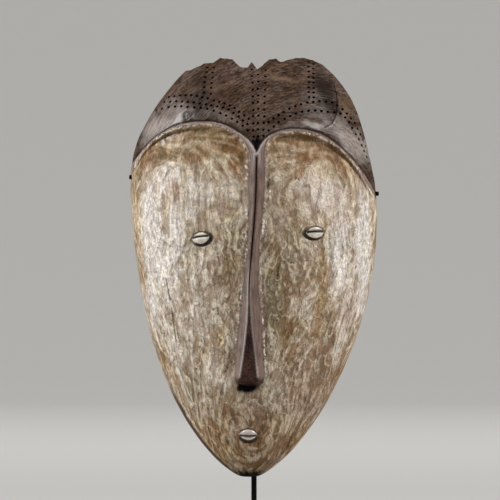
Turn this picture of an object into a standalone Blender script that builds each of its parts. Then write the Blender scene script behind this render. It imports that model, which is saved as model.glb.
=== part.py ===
# A carved wooden mask: a raised forehead over a recessed, clay-whitened face, a ridge of a nose, and
# cowrie shells for eyes and mouth. It hangs on a black rod with a square foot.
# Metres, +Z up. The mask looks along -Y, and the origin is the middle of the foot's underside.
# Places on the mask are given as seen from the front: x from the rod's axis, h above the chin.
import math

import bmesh
import bpy
import numpy as np
from mathutils import Matrix, Vector, noise
from mathutils.geometry import delaunay_2d_cdt

# Stand
FOOT_SIDE = 0.150
FOOT_THICKNESS = 0.008
FOOT_BEVEL = 0.0012
ROD_RADIUS = 0.003
ARM_RADIUS = 0.0024
ROD_SHOWN = 0.075
TIP_REACH = 0.1375
TIP_HEIGHT_LEFT = 0.3335
TIP_HEIGHT_RIGHT = 0.3150
TIP_INSET = 0.012
ARM_BEND = 0.030
GAP = 0.0003

# Mask, outer form
CHIN_Z = FOOT_THICKNESS + ROD_SHOWN
RIM_Y = 0.040
ROD_Y = RIM_Y + ROD_RADIUS + 0.001
HALF_WIDTH = 0.1356
WIDEST = 0.308
ARCH_RISE = 0.176
DEPTH = 0.100
JAW_POWER = 0.66
CROWN_DEPTH_POWER = 0.45
JAW_DEPTH_POWER = 0.55
# The middle line wanders as the outline was cut by eye: (h, x).
MIDDLE = (
    (0.0, -0.0055), (0.088, -0.0027), (0.236, 0.0016), (0.308, -0.0003), (0.358, -0.0031), (0.431, 0.0033),
    (0.484, 0.0045),
)

# Mask, hollow back
RIM_WIDTH = 0.015
WALL = 0.019
HOLLOW_RISE = 0.127
HOLLOW_DROP = 0.280
HOLLOW_TOP_POWER = 0.42

# Decayed top edge, left to right: (x, h).
BROKEN_EDGE = (
    (-0.0705, 0.4510), (-0.0540, 0.4585), (-0.0450, 0.4590), (-0.0372, 0.4645), (-0.0235, 0.4626),
    (-0.0154, 0.4538), (-0.0066, 0.4533), (-0.0026, 0.4600), (0.0035, 0.4516), (0.0088, 0.4550),
    (0.0121, 0.4589), (0.0169, 0.4623), (0.0242, 0.4636), (0.0290, 0.4592), (0.0396, 0.4625),
    (0.0451, 0.4642), (0.0561, 0.4644), (0.0649, 0.4620), (0.0726, 0.4587),
)
# The decay runs on to the flat back, where it is lower and more even.
BACK_EVEN_H = 0.457
BACK_UNEVEN_SHARE = 0.35
BACK_DROP = 0.009

# Lip of the whitened face under each brow, from the side of the mask to the nose: (x, h).
LEFT_LIP = (
    (-0.1330, 0.3440), (-0.1254, 0.3575), (-0.1144, 0.3707), (-0.0924, 0.3845), (-0.0704, 0.3898),
    (-0.0484, 0.3906), (-0.0264, 0.3839), (-0.0130, 0.3735), (-0.0078, 0.3640),
)
RIGHT_LIP = (
    (0.1350, 0.3090), (0.1254, 0.3245), (0.1111, 0.3476), (0.0891, 0.3685), (0.0671, 0.3795),
    (0.0451, 0.3828), (0.0264, 0.3800), (0.0165, 0.3735), (0.0132, 0.3640),
)
# Carved line above each brow band, down into the pocket between the bands: (x, h).
LEFT_BAND_TOP = (
    (-0.1345, 0.3500), (-0.1200, 0.3668), (-0.1034, 0.3812), (-0.0814, 0.3917), (-0.0594, 0.3944),
    (-0.0374, 0.3927), (-0.0154, 0.3817), (-0.0022, 0.3705), (0.0027, 0.3620),
)
RIGHT_BAND_TOP = (
    (0.1355, 0.3150), (0.1221, 0.3355), (0.1001, 0.3620), (0.0726, 0.3812), (0.0506, 0.3864),
    (0.0286, 0.3843), (0.0160, 0.3785), (0.0080, 0.3710), (0.0032, 0.3620),
)
# Nose, down from the brow: (h, left seam, left edge of the ridge, right edge of the ridge, right seam).
NOSE = (
    (0.3560, -0.0062, 0.0017, 0.0039, 0.0130),
    (0.3080, -0.0060, 0.0006, 0.0028, 0.0112),
    (0.2530, -0.0072, -0.0036, -0.0014, 0.0058),
    (0.2200, -0.0116, -0.0064, -0.0040, 0.0052),
    (0.1760, -0.0160, -0.0082, -0.0028, 0.0080),
    (0.1320, -0.0203, -0.0132, 0.0022, 0.0105),
    (0.1150, -0.0212, -0.0158, 0.0040, 0.0116),
)
NOSE_END = 0.1035
NOSE_MIDDLE_X = -0.0048
# How far the ridge stands over the smooth form: (h, height).
NOSE_PROUD = (
    (0.095, 0.0185), (0.115, 0.0180), (0.154, 0.0135), (0.198, 0.0080), (0.253, 0.0030), (0.330, 0.0012),
    (0.370, 0.0),
)
NOSE_UNDERCUT = 0.006
UNDERCUT_RUN = 0.009
NOSE_GROOVE = 0.0012
GROOVE_HALF_WIDTH = 0.0009
GROOVE_ENDS = (0.195, 0.235)
# Between these heights, and this close to the middle, the brow bands turn into the nose's flanks.
BAND_TO_NOSE = (0.346, 0.370)
NOSE_REACH = ((0.335, 0.030), (0.360, 0.016))

# Relief of the face
# How deep the face lies under the smooth form: (h, depth).
FIELD_DROP = (
    (0.0, 0.0), (0.05, 0.0010), (0.12, 0.0038), (0.25, 0.0055), (0.37, 0.0068), (0.40, 0.0068),
)
LIP_RUN = 0.0022
BAND_CREST = 0.0012
BAND_CREST_SHARE = 0.45
LINE_DEPTH = 0.0013
LINE_RUN = 0.0016
POCKET = (0.0034, 0.3740)
POCKET_RADIUS = 0.0062
POCKET_DEPTH = 0.0030

# Burnt dots
DOT_RADIUS = 0.0012
DOT_DEPTH = 0.0019
# Rows of dots: the points that a row passes through, (x, h), and how many dots it has.
DOT_ROWS = (
    (((-0.0025, 0.4510), (-0.0011, 0.4150), (-0.0006, 0.3768)), 11),
    (((0.0044, 0.4452), (0.0044, 0.3773)), 10),
    (((0.0128, 0.4505), (0.0117, 0.4150), (0.0099, 0.3773)), 11),
    (((-0.0501, 0.4593), (-0.0520, 0.4488), (-0.0544, 0.4367), (-0.0546, 0.4260)), 7),
    (((-0.0435, 0.4593), (-0.0458, 0.4416), (-0.0473, 0.4246)), 7),
    (((-0.0941, 0.4213), (-0.0726, 0.4235), (-0.0484, 0.4186), (-0.0248, 0.4103), (-0.0055, 0.3966)), 16),
    (((-0.0985, 0.4158), (-0.0770, 0.4164), (-0.0539, 0.4127), (-0.0281, 0.4070), (-0.0074, 0.3905)), 16),
    (((-0.1078, 0.4070), (-0.0963, 0.4098), (-0.0723, 0.4103), (-0.0451, 0.4059), (-0.0195, 0.3938),
      (-0.0072, 0.3839)), 16),
    (((0.0602, 0.4604), (0.0602, 0.4206)), 8),
    (((0.0653, 0.4576), (0.0653, 0.4206)), 8),
    (((0.0157, 0.3930), (0.0371, 0.4070), (0.0608, 0.4150), (0.0869, 0.4142), (0.1073, 0.3977),
      (0.1205, 0.3729), (0.1257, 0.3616)), 22),
    (((0.0160, 0.3839), (0.0352, 0.3977), (0.0586, 0.4057), (0.0820, 0.4048), (0.0941, 0.4037),
      (0.1106, 0.3828), (0.1235, 0.3575), (0.1268, 0.3487)), 22),
)
DOT_WOBBLE = 0.0007

# Cowries: place (x, h), length across the face, width, tilt in degrees.
COWRIES = {
    "cowrie_eye_left": ((-0.0588, 0.2660), 0.0205, 0.0128, 8.0),
    "cowrie_eye_right": ((0.0671, 0.2722), 0.0212, 0.0126, 2.0),
    "cowrie_mouth": ((-0.0066, 0.0500), 0.0200, 0.0134, 0.0),
}
COWRIE_PROUD = 0.0058
COWRIE_EDGE = 0.0016
SLIT_DEPTH = 0.0016
SOCKET_DEPTH = 0.0022
SOCKET_MARGIN = 0.0020
SOCKET_FLOOR_RING = 1.04
SOCKET_RIM_RING = 1.28

# Spacing of the mesh
LINE_STEP = 0.0045
SOCKET_SIDES = 16
# Finer where the bands meet, round the nose's end and on the chin: (step, (left, right, bottom, top)).
SKIN_STEPS = (
    (0.0026, (-0.018, 0.024, 0.344, 0.378)),
    (0.0045, (-0.030, 0.020, 0.092, 0.120)),
    (0.0065, (-0.060, 0.050, 0.0, 0.045)),
    (0.0100, (-0.200, 0.200, 0.0, 0.5)),
)


def clear_scene():
    for item in list(bpy.data.objects):
        bpy.data.objects.remove(item, do_unlink=True)


def material(name, color, roughness, metallic=0.0):
    made = bpy.data.materials.new(name)
    made.use_nodes = True
    shader = made.node_tree.nodes["Principled BSDF"]
    shader.inputs["Base Color"].default_value = (*color, 1.0)
    shader.inputs["Roughness"].default_value = roughness
    shader.inputs["Metallic"].default_value = metallic
    made.diffuse_color = (*color, 1.0)
    return made


def object_from(bm, name, materials, smooth_degrees=None, hidden=False):
    bmesh.ops.remove_doubles(bm, verts=bm.verts, dist=1e-6)
    bmesh.ops.recalc_face_normals(bm, faces=bm.faces)
    mesh = bpy.data.meshes.new(name)
    bm.to_mesh(mesh)
    bm.free()
    for item in materials:
        mesh.materials.append(item)
    if smooth_degrees is not None:
        mesh.shade_smooth()
        mesh.set_sharp_from_angle(angle=math.radians(smooth_degrees))
    made = bpy.data.objects.new(name, mesh)
    bpy.context.scene.collection.objects.link(made)
    if hidden:
        made.hide_render = True
        made.display_type = "WIRE"
    return made


def boolean(target, other, operation):
    modifier = target.modifiers.new(other.name, "BOOLEAN")
    modifier.operation = operation
    modifier.object = other


# Curves through given points

def hermite(places, values, at):
    """Smooth curve through values at rising places, read at the places asked for."""
    places = np.asarray(places, float)
    values = np.asarray(values, float)
    slopes = np.gradient(values, places)
    at = np.clip(at, places[0], places[-1])
    k = np.clip(np.searchsorted(places, at) - 1, 0, len(places) - 2)
    span = places[k + 1] - places[k]
    t = (at - places[k]) / span
    rest = 1 - t
    return (values[k] * (1 + 2 * t) * rest**2 + values[k + 1] * t**2 * (3 - 2 * t)
            + slopes[k] * span * t * rest**2 - slopes[k + 1] * span * t**2 * rest)


def curve(points, step):
    """Smooth line through the points, with about one step between its own."""
    points = np.asarray(points, float)
    run = np.concatenate([[0], np.cumsum(np.hypot(*np.diff(points, axis=0).T))])
    at = np.linspace(0, run[-1], max(2, round(run[-1] / step) + 1))
    return np.column_stack([hermite(run, points[:, 0], at), hermite(run, points[:, 1], at)])


def table(rows, at):
    rows = sorted(rows)
    return hermite([row[0] for row in rows], [row[1] for row in rows], at)


def fade(low, high, value):
    t = np.clip((value - low) / (high - low), 0, 1)
    return t * t * (3 - 2 * t)


def distance(x, h, line):
    """Shortest distance from each place to a line of points."""
    best = np.full(np.shape(x), np.inf)
    for (ax, ah), (bx, bh) in zip(line[:-1], line[1:]):
        along = ((x - ax) * (bx - ax) + (h - ah) * (bh - ah)) / ((bx - ax) ** 2 + (bh - ah) ** 2 + 1e-15)
        along = np.clip(along, 0, 1)
        best = np.minimum(best, np.hypot(x - ax - along * (bx - ax), h - ah - along * (bh - ah)))
    return best


def inside(x, h, outline):
    found = np.zeros(np.shape(x), bool)
    for (ax, ah), (bx, bh) in zip(outline, np.roll(outline, -1, axis=0)):
        if ah != bh:
            crosses = (h > min(ah, bh)) & (h <= max(ah, bh))
            found ^= crosses & (x < ax + (h - ah) / (bh - ah) * (bx - ax))
    return found


# Outer form of the mask

def half_width(h):
    up = np.clip((h - WIDEST) / ARCH_RISE, 0, 1)
    down = np.clip((WIDEST - h) / WIDEST, 0, 1)
    return HALF_WIDTH * (1 - up**2) ** 0.5 * (1 - down**2) ** JAW_POWER


def depth(h):
    up = np.clip((h - WIDEST) / ARCH_RISE, 0, 1)
    down = np.clip((WIDEST - h) / WIDEST, 0, 1)
    return DEPTH * (1 - up**2) ** CROWN_DEPTH_POWER * (1 - down**2) ** JAW_DEPTH_POWER


def middle(h):
    return table(MIDDLE, h)


def sheet_from_front(x, h):
    """The skin laid out flat, so that triangles of even size there are even on the mask."""
    turn = np.arcsin(np.clip((x - middle(h)) / np.maximum(half_width(h), 1e-6), -1, 1))
    reach = np.sqrt((half_width(h) ** 2 + depth(h) ** 2) / 2)
    reach_up = math.hypot(ARCH_RISE, DEPTH) / math.sqrt(2)
    reach_down = math.hypot(WIDEST, DEPTH) / math.sqrt(2)
    up = np.arcsin(np.clip((h - WIDEST) / ARCH_RISE, 0, 1)) * reach_up
    down = np.arcsin(np.clip((WIDEST - h) / WIDEST, 0, 1)) * reach_down
    return turn * reach, up - down


def front_from_sheet(p, q):
    reach_up = math.hypot(ARCH_RISE, DEPTH) / math.sqrt(2)
    reach_down = math.hypot(WIDEST, DEPTH) / math.sqrt(2)
    above = ARCH_RISE * np.sin(np.maximum(q, 0) / reach_up)
    below = WIDEST * np.sin(np.minimum(q, 0) / reach_down)
    h = WIDEST + above + below
    reach = np.sqrt((half_width(h) ** 2 + depth(h) ** 2) / 2)
    turn = np.clip(p / np.maximum(reach, 1e-6), -math.pi / 2, math.pi / 2)
    return turn, h


def form(p, q):
    """Smooth form of the skin, before carving, and its outward direction."""
    def place(p, q):
        turn, h = front_from_sheet(p, q)
        return np.stack([middle(h) + half_width(h) * np.sin(turn), -depth(h) * np.cos(turn), h], axis=-1)
    small = 1e-4
    turn, h = front_from_sheet(p, q)
    side = half_width(h) * np.cos(turn) + 1e-9
    front = depth(h) * np.sin(turn)
    across = np.stack([side, front, np.zeros_like(side)], axis=-1)
    low = np.clip(h - small, 1e-4, None)
    high = h + small
    up = np.stack([
        middle(high) + half_width(high) * np.sin(turn) - middle(low) - half_width(low) * np.sin(turn),
        -(depth(high) - depth(low)) * np.cos(turn),
        high - low,
    ], axis=-1)
    out = np.cross(across, up)
    out /= np.maximum(np.linalg.norm(out, axis=-1, keepdims=True), 1e-12)
    return place(p, q), out


# Lines of the carving, in front view

def nose_line(column, h):
    return table([(row[0], row[column]) for row in NOSE], h)


def nose_side(column, step=LINE_STEP):
    h = np.arange(NOSE[0][0], NOSE[-1][0] - step / 2, -step)
    return np.column_stack([nose_line(column, h), h])


def face_edge(step=LINE_STEP):
    """Edge of the whitened face: left lip, round the nose, right lip."""
    left_foot, right_foot = NOSE[-1][1], NOSE[-1][4]
    under = [(left_foot + 0.0022, NOSE_END), (left_foot + 0.0060, NOSE_END - 0.0022),
             (right_foot - 0.0060, NOSE_END - 0.0022), (right_foot - 0.0022, NOSE_END)]
    return np.vstack([
        curve(LEFT_LIP, step), nose_side(1, step), [(left_foot, NOSE[-1][0])], under,
        [(right_foot, NOSE[-1][0])], nose_side(4, step)[::-1], curve(RIGHT_LIP, step)[::-1],
    ])


def band_line(step=LINE_STEP):
    """Carved line over both brow bands, meeting in the pocket at the top of the nose."""
    return np.vstack([curve(LEFT_BAND_TOP, step), curve(RIGHT_BAND_TOP, step)[::-1]])


def ridge_outline(step=LINE_STEP):
    """The nose's front: a carved line at its top that opens into a flat towards the tip."""
    left, right = nose_side(2, step), nose_side(3, step)
    tip = [(NOSE[-1][2] + 0.0005, NOSE_END + 0.0062), (NOSE[-1][2] + 0.0050, NOSE_END + 0.0028),
           (NOSE[-1][3] - 0.0050, NOSE_END + 0.0028), (NOSE[-1][3] - 0.0005, NOSE_END + 0.0062)]
    return np.vstack([left, tip, right[::-1]])


def offset(line, by):
    """A line beside the given one, to its left as it runs."""
    along = np.gradient(line, axis=0)
    along /= np.linalg.norm(along, axis=1, keepdims=True)
    return line + by * np.column_stack([-along[:, 1], along[:, 0]])


def dots():
    found = []
    for points, count in DOT_ROWS:
        line = curve(points, 0.001)
        run = np.concatenate([[0], np.cumsum(np.hypot(*np.diff(line, axis=0).T))])
        at = np.linspace(0, run[-1], count)
        for number, place in enumerate(at):
            wobble = Vector((place * 900, number * 3.7, count))
            shift = noise.noise_vector(wobble) * DOT_WOBBLE
            x, h = np.interp(place, run, line[:, 0]), np.interp(place, run, line[:, 1])
            found.append((x + shift.x, h + shift.y))
    return np.array(found)


# Height of the carving over the smooth form

def relief(x, h):
    edge, band, ridge = face_edge(), band_line(), ridge_outline()
    far = 0.3
    face = np.vstack([[(-far, edge[0][1])], edge, [(far, edge[-1][1])], [(far, -far), (-far, -far)]])
    cap = np.vstack([[(-far, band[0][1])], band, [(far, band[-1][1])], [(far, 1.0), (-far, 1.0)]])
    in_face, in_cap, in_ridge = inside(x, h, face), inside(x, h, cap), inside(x, h, ridge)
    from_edge, from_band = distance(x, h, edge), distance(x, h, band)
    from_inner = np.minimum(from_band, distance(x, h, ridge))

    sideways = np.clip((x - middle(h)) / np.maximum(half_width(h), 1e-6), -1, 1)
    drop = table(FIELD_DROP, h) * (1 - sideways**4)
    reach = np.interp(h, *zip(*NOSE_REACH))
    on_nose = fade(BAND_TO_NOSE[1], BAND_TO_NOSE[0], h) * fade(reach + 0.004, reach, np.abs(x - POCKET[0]))
    proud = table(NOSE_PROUD, h)

    # Face: down from the lip of the brow, or level with the foot of the nose.
    lip = -drop * on_nose
    level_face = lip + (-drop - lip) * np.clip(from_edge / LIP_RUN, 0, 1)
    # Brow band and flank of the nose: from the face's edge to the carved line or the ridge.
    across = from_edge / np.maximum(from_edge + from_inner, 1e-9)
    past_crest = np.clip((across - BAND_CREST_SHARE) / (1 - BAND_CREST_SHARE), 0, 1)
    band_level = BAND_CREST * np.clip(across / BAND_CREST_SHARE, 0, 1)
    band_level -= (BAND_CREST + LINE_DEPTH) * past_crest
    flank_level = -drop + (proud + drop) * across
    level_between = band_level * (1 - sideways**4) * (1 - on_nose) + flank_level * on_nose
    # Forehead: up from the carved line, with the pocket sunk where the bands meet.
    level_cap = -LINE_DEPTH * (1 - np.clip(from_band / LINE_RUN, 0, 1)) * (1 - sideways**4)
    from_pocket = np.hypot((x - POCKET[0]) * 1.9, h - POCKET[1])
    level_cap = level_cap - POCKET_DEPTH * np.clip(1 - from_pocket / POCKET_RADIUS, 0, 1)

    level = np.where(in_face, level_face, level_between)
    level = np.where(in_cap, level_cap, level)
    from_groove = np.abs(x - (nose_line(2, h) + nose_line(3, h)) / 2)
    groove = NOSE_GROOVE * np.clip(1 - from_groove / GROOVE_HALF_WIDTH, 0, 1) * fade(*GROOVE_ENDS, h)
    level = np.where(in_ridge & ~in_cap, proud - groove, level)
    return level, in_face


def forward(level, out):
    """Carving moves the skin front to back, so that its lines keep their places in front view."""
    return -level / np.maximum(-out[..., 1], 0.4)


def carve(p, q, pits):
    """World places of the skin, carved, with its dots and sockets."""
    turn, h = front_from_sheet(p, q)
    x = middle(h) + half_width(h) * np.sin(turn)
    level, in_face = relief(x, h)
    for pit_p, pit_q in pits:
        level -= DOT_DEPTH * np.clip(1 - np.hypot(p - pit_p, q - pit_q) / DOT_RADIUS, 0, 1)
    places, out = form(p, q)
    places[..., 1] += forward(level, out)
    # The nose's underside is cut back, so that its tip overhangs.
    edge = face_edge()
    under = (h < NOSE_END + 0.0025) * fade(0.0165, 0.0125, np.abs(x - NOSE_MIDDLE_X))
    near = np.clip(1 - distance(x, h, edge) / UNDERCUT_RUN, 0, 1)
    lift = NOSE_UNDERCUT * near * under * fade(0.010, 0.002, level)
    places[..., 2] += lift
    for name in COWRIES:
        places = flatten_socket(places, name)
    return places


def socket_frame(name):
    """Middle of a socket's floor, and its axes: along the shell, across it, outward."""
    (x, h), length, width, tilt = COWRIES[name]
    p, q = sheet_from_front(np.array([x]), np.array([h]))
    level, _ = relief(np.array([x]), np.array([h]))
    place, out = form(p, q)
    place[:, 1] += forward(level, out)
    out = Vector(out[0])
    along = Vector((math.cos(math.radians(tilt)), 0, math.sin(math.radians(tilt))))
    along = (along - out * along.dot(out)).normalized()
    across = out.cross(along)
    floor = Vector(place[0]) - out * SOCKET_DEPTH
    return floor, along, across, out


def flatten_socket(places, name):
    """Sinks the skin front to back onto the socket's flat floor, with a slope round it."""
    floor, along, across, out = socket_frame(name)
    _, length, width, _ = COWRIES[name]
    on_floor = places - np.array(floor)
    on_floor[..., 1] = -(on_floor[..., 0] * out.x + on_floor[..., 2] * out.z) / out.y
    u = on_floor @ np.array(along)
    v = on_floor @ np.array(across)
    ring = np.hypot(u / (length / 2 + SOCKET_MARGIN), v / (width / 2 + SOCKET_MARGIN))
    share = np.clip((SOCKET_RIM_RING - ring) / (SOCKET_RIM_RING - SOCKET_FLOOR_RING), 0, 1)
    places[..., 1] += (floor.y + on_floor[..., 1] - places[..., 1]) * share
    return places


def to_world(places):
    moved = np.array(places)
    moved[..., 1] += RIM_Y
    moved[..., 2] += CHIN_Z
    return moved


# Mesh of the mask

def skin_layout():
    """Points and edges of the carving's lines on the flat sheet, then an even spread between them."""
    points, edges = [], []

    def add_line(x, h, loop=False):
        p, q = sheet_from_front(np.asarray(x, float), np.asarray(h, float))
        first = len(points)
        points.extend(zip(p, q))
        edges.extend((k, k + 1) for k in range(first, len(points) - 1))
        if loop:
            edges.append((len(points) - 1, first))

    broken = np.array(BROKEN_EDGE)
    low_left, low_right = broken[0][1], broken[-1][1]
    rim_count = round(low_left * 1.25 / LINE_STEP)
    share = np.linspace(0, 1, rim_count + 1)
    spread = share**1.6 * 0.5 + share * 0.5
    left_h, right_h = low_left * spread, low_right * spread
    left_x = middle(left_h) - half_width(left_h)
    right_x = middle(right_h) + half_width(right_h)
    outline_x = np.concatenate([right_x, broken[::-1][1:-1, 0], left_x[::-1][:-1]])
    outline_h = np.concatenate([right_h, broken[::-1][1:-1, 1], left_h[::-1][:-1]])
    add_line(outline_x, outline_h, loop=True)
    outline = np.array(points)

    def within(line, margin=0.003):
        """The stretch of a line that lies inside the outline."""
        side = np.abs((line[:, 0] - middle(line[:, 1])) / np.maximum(half_width(line[:, 1]), 1e-6))
        return line[side < 1 - margin / 0.13]

    edge, band, ridge = face_edge(), band_line(), ridge_outline()
    lips = len(curve(LEFT_LIP, LINE_STEP)), len(curve(RIGHT_LIP, LINE_STEP))
    add_line(*within(edge).T)
    add_line(*within(band).T)
    add_line(*ridge.T)
    centre = (nose_side(2) + nose_side(3)) / 2
    add_line(*centre[centre[:, 1] > GROOVE_ENDS[0]].T)
    add_line(*within(offset(edge[:lips[0] + 2], -LIP_RUN)).T)
    add_line(*within(offset(edge[-lips[1] - 2:], -LIP_RUN)).T)
    half = len(curve(LEFT_BAND_TOP, LINE_STEP))
    add_line(*within(offset(band[:half - 2], LINE_RUN)).T)
    add_line(*within(offset(band[half + 2:], LINE_RUN)).T)
    for name, (_, length, width, _) in COWRIES.items():
        floor, along, across, _ = socket_frame(name)
        for ring in (SOCKET_FLOOR_RING - 0.02, SOCKET_RIM_RING + 0.02):
            turn = np.arange(SOCKET_SIDES) * 2 * math.pi / SOCKET_SIDES
            u = (length / 2 + SOCKET_MARGIN) * ring * np.cos(turn)
            v = (width / 2 + SOCKET_MARGIN) * ring * np.sin(turn)
            add_line(floor.x + u * along.x + v * across.x, floor.z + u * along.z + v * across.z, loop=True)

    pits = np.column_stack(sheet_from_front(*dots().T))
    clear = distance(pits[:, 0], pits[:, 1], outline) > 2 * DOT_RADIUS
    pits = pits[clear & inside(pits[:, 0], pits[:, 1], outline)]
    for pit_p, pit_q in pits:
        first = len(points)
        points.append((pit_p, pit_q))
        for corner in range(4):
            turn = math.radians(45 + 90 * corner)
            points.append((pit_p + DOT_RADIUS * math.cos(turn), pit_q + DOT_RADIUS * math.sin(turn)))
            edges.append((first + 1 + corner, first + 1 + (corner + 1) % 4))

    for step, (left, right, bottom, top) in SKIN_STEPS:
        taken = np.array(points)
        low, high = taken.min(axis=0), taken.max(axis=0)
        for row, q in enumerate(np.arange(low[1], high[1], step * math.sqrt(3) / 2)):
            p = np.arange(low[0] + row % 2 * step / 2, high[0], step)
            q = np.full_like(p, q)
            turn, h = front_from_sheet(p, q)
            x = middle(h) + half_width(h) * np.sin(turn)
            wanted = (x > left) & (x < right) & (h > bottom) & (h < top) & inside(p, q, outline)
            near = np.hypot(taken[:, :1] - p, taken[:, 1:] - q).min(axis=0) > 0.55 * step
            points.extend(zip(p[wanted & near], q[wanted & near]))
    return points, edges, pits, outline


def mask_shell(materials):
    points, edges, pits, outline = skin_layout()
    flat, _, triangles, *_ = delaunay_2d_cdt([Vector(point) for point in points], edges, [], 0, 1e-7, False)
    p, q = np.array([tuple(point) for point in flat]).T
    triangles = np.array(triangles)
    triangles = triangles[inside(p[triangles].mean(axis=1), q[triangles].mean(axis=1), outline)]
    places = to_world(carve(p, q, pits))
    turn, h = front_from_sheet(p, q)
    _, in_face = relief(middle(h) + half_width(h) * np.sin(turn), h)

    bm = bmesh.new()
    verts = [bm.verts.new(place) for place in places]
    for triangle in triangles:
        face = bm.faces.new([verts[k] for k in triangle])
        face.material_index = int(in_face[triangle].all())
    border = boundary_loop(bm)
    back = [vert if vert.co.y > RIM_Y - 1e-5 else bm.verts.new(back_of(vert.co)) for vert in border]
    for k, vert in enumerate(border):
        after = (k + 1) % len(border)
        corners = [vert, border[after], back[after], back[k]]
        distinct = list(dict.fromkeys(corners))
        if len(distinct) > 2:
            bm.faces.new(distinct)
    bm.faces.new(back)
    return object_from(bm, "mask", materials, 35)


def back_of(point):
    """Where the broken top that starts at this point of the skin meets the flat back."""
    side = min(abs(point.x) / HALF_WIDTH, 0.999)
    arch = WIDEST + ARCH_RISE * math.sqrt(1 - side**2) - 0.001
    h = point.z - CHIN_Z
    level = BACK_EVEN_H + (h - BACK_EVEN_H) * BACK_UNEVEN_SHARE
    level -= BACK_DROP * float(fade(0.0, 0.03, RIM_Y - point.y))
    return point.x, RIM_Y, CHIN_Z + min(level, arch, h)


def boundary_loop(bm):
    """The open border's points in order, starting at the chin."""
    start = min((edge for edge in bm.edges if edge.is_boundary), key=lambda edge: edge.verts[0].co.z)
    loop = [start.verts[0], start.verts[1]]
    while True:
        ahead = [edge.other_vert(loop[-1]) for edge in loop[-1].link_edges if edge.is_boundary]
        ahead = [vert for vert in ahead if vert != loop[-2]]
        if ahead[0] == loop[0]:
            return loop
        loop.append(ahead[0])


def hollow_cutter():
    """The hollow back: a smaller copy of the form, closed behind the rim."""
    rows, columns = 20, 22
    behind = 0.01
    bm = bmesh.new()
    grid = []
    for row in range(rows + 1):
        rise = math.pi * (row / rows - 0.5)
        up = max(math.sin(rise), 0.0)
        down = max(-math.sin(rise), 0.0)
        h = WIDEST + HOLLOW_RISE * up - HOLLOW_DROP * down
        width = (HALF_WIDTH - RIM_WIDTH) * (1 - up**2) ** HOLLOW_TOP_POWER * (1 - down**2) ** JAW_POWER
        front = (DEPTH - WALL) * (1 - up**2) ** HOLLOW_TOP_POWER * (1 - down**2) ** JAW_DEPTH_POWER
        if row in (0, rows):
            width = front = 0.0
        line = []
        for column in range(columns + 1):
            turn = math.pi * (column / columns - 0.5)
            x = float(middle(h)) + width * math.sin(turn)
            line.append(bm.verts.new((x, RIM_Y - front * math.cos(turn), CHIN_Z + h)))
        grid.append(line)
    for low, high in zip(grid[:-1], grid[1:]):
        for k in range(columns):
            bm.faces.new((low[k], low[k + 1], high[k + 1], high[k]))
    bmesh.ops.remove_doubles(bm, verts=bm.verts, dist=1e-6)
    open_edges = [edge for edge in bm.edges if edge.is_boundary]
    made = bmesh.ops.extrude_edge_only(bm, edges=open_edges)["geom"]
    pulled = [item for item in made if isinstance(item, bmesh.types.BMVert)]
    bmesh.ops.translate(bm, verts=pulled, vec=(0, behind, 0))
    bmesh.ops.holes_fill(bm, edges=[edge for edge in bm.edges if edge.is_boundary], sides=0)
    return object_from(bm, "hollow", [], hidden=True)


# Stand

def tube(path, radius, sides=12):
    """Round bar along a path of points, with flat ends."""
    bm = bmesh.new()
    path = [Vector(point) for point in path]
    rings = []
    side = Vector((0, 0, 1)) if abs((path[-1] - path[0]).normalized().z) < 0.9 else Vector((0, 1, 0))
    for k, point in enumerate(path):
        along = (path[min(k + 1, len(path) - 1)] - path[max(k - 1, 0)]).normalized()
        first = (side - along * side.dot(along)).normalized()
        second = along.cross(first)
        rings.append([
            bm.verts.new(point + radius * (first * math.cos(turn) + second * math.sin(turn)))
            for turn in (2 * math.pi * n / sides for n in range(sides))
        ])
    for low, high in zip(rings[:-1], rings[1:]):
        for n in range(sides):
            bm.faces.new((low[n], low[(n + 1) % sides], high[(n + 1) % sides], high[n]))
    bm.faces.new(rings[0])
    bm.faces.new(rings[-1])
    return bm


def arm_point(x):
    """Middle of the cross arm at x: bowed back to the rod, then straight out through the mask's sides."""
    slope = (ROD_Y - RIM_Y + TIP_INSET) / (TIP_REACH - ARM_BEND / 2)
    run = x * x / (2 * ARM_BEND) if abs(x) < ARM_BEND else abs(x) - ARM_BEND / 2
    h = TIP_HEIGHT_LEFT + (TIP_HEIGHT_RIGHT - TIP_HEIGHT_LEFT) * (x + TIP_REACH) / (2 * TIP_REACH)
    return x, ROD_Y - slope * run, CHIN_Z + h


def stand_rod(materials):
    top = arm_point(0.0)[2] + ARM_RADIUS + 0.002
    upright = tube([(0, ROD_Y, FOOT_THICKNESS + GAP), (0, ROD_Y, top)], ROD_RADIUS, 16)
    rod = object_from(upright, "stand_rod", materials, 40)
    bends = [ARM_BEND * k / 3 for k in range(-3, 4)]
    arm_places = [arm_point(x) for x in (-TIP_REACH, *bends, TIP_REACH)]
    arm = object_from(tube(arm_places, ARM_RADIUS), "arm", materials, 40, hidden=True)
    boolean(rod, arm, "UNION")
    return rod


def stand_foot(materials):
    bm = bmesh.new()
    bmesh.ops.create_cube(bm, size=1.0, matrix=Matrix.Translation((0, 0, FOOT_THICKNESS / 2))
                          @ Matrix.Diagonal((FOOT_SIDE, FOOT_SIDE, FOOT_THICKNESS, 1)))
    foot = object_from(bm, "stand_foot", materials)
    bevel = foot.modifiers.new("worn edges", "BEVEL")
    bevel.width = FOOT_BEVEL
    bevel.segments = 2
    return foot


def side_holes(mask):
    """A hole through each side of the mask for the arm's ends."""
    for name, side in (("left_hole", -1), ("right_hole", 1)):
        ends = [arm_point(side * (TIP_REACH - 0.040)), arm_point(side * (TIP_REACH + 0.010))]
        hole = object_from(tube(ends, ARM_RADIUS + 2 * GAP), name, [], hidden=True)
        boolean(mask, hole, "DIFFERENCE")


# Cowries

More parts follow.
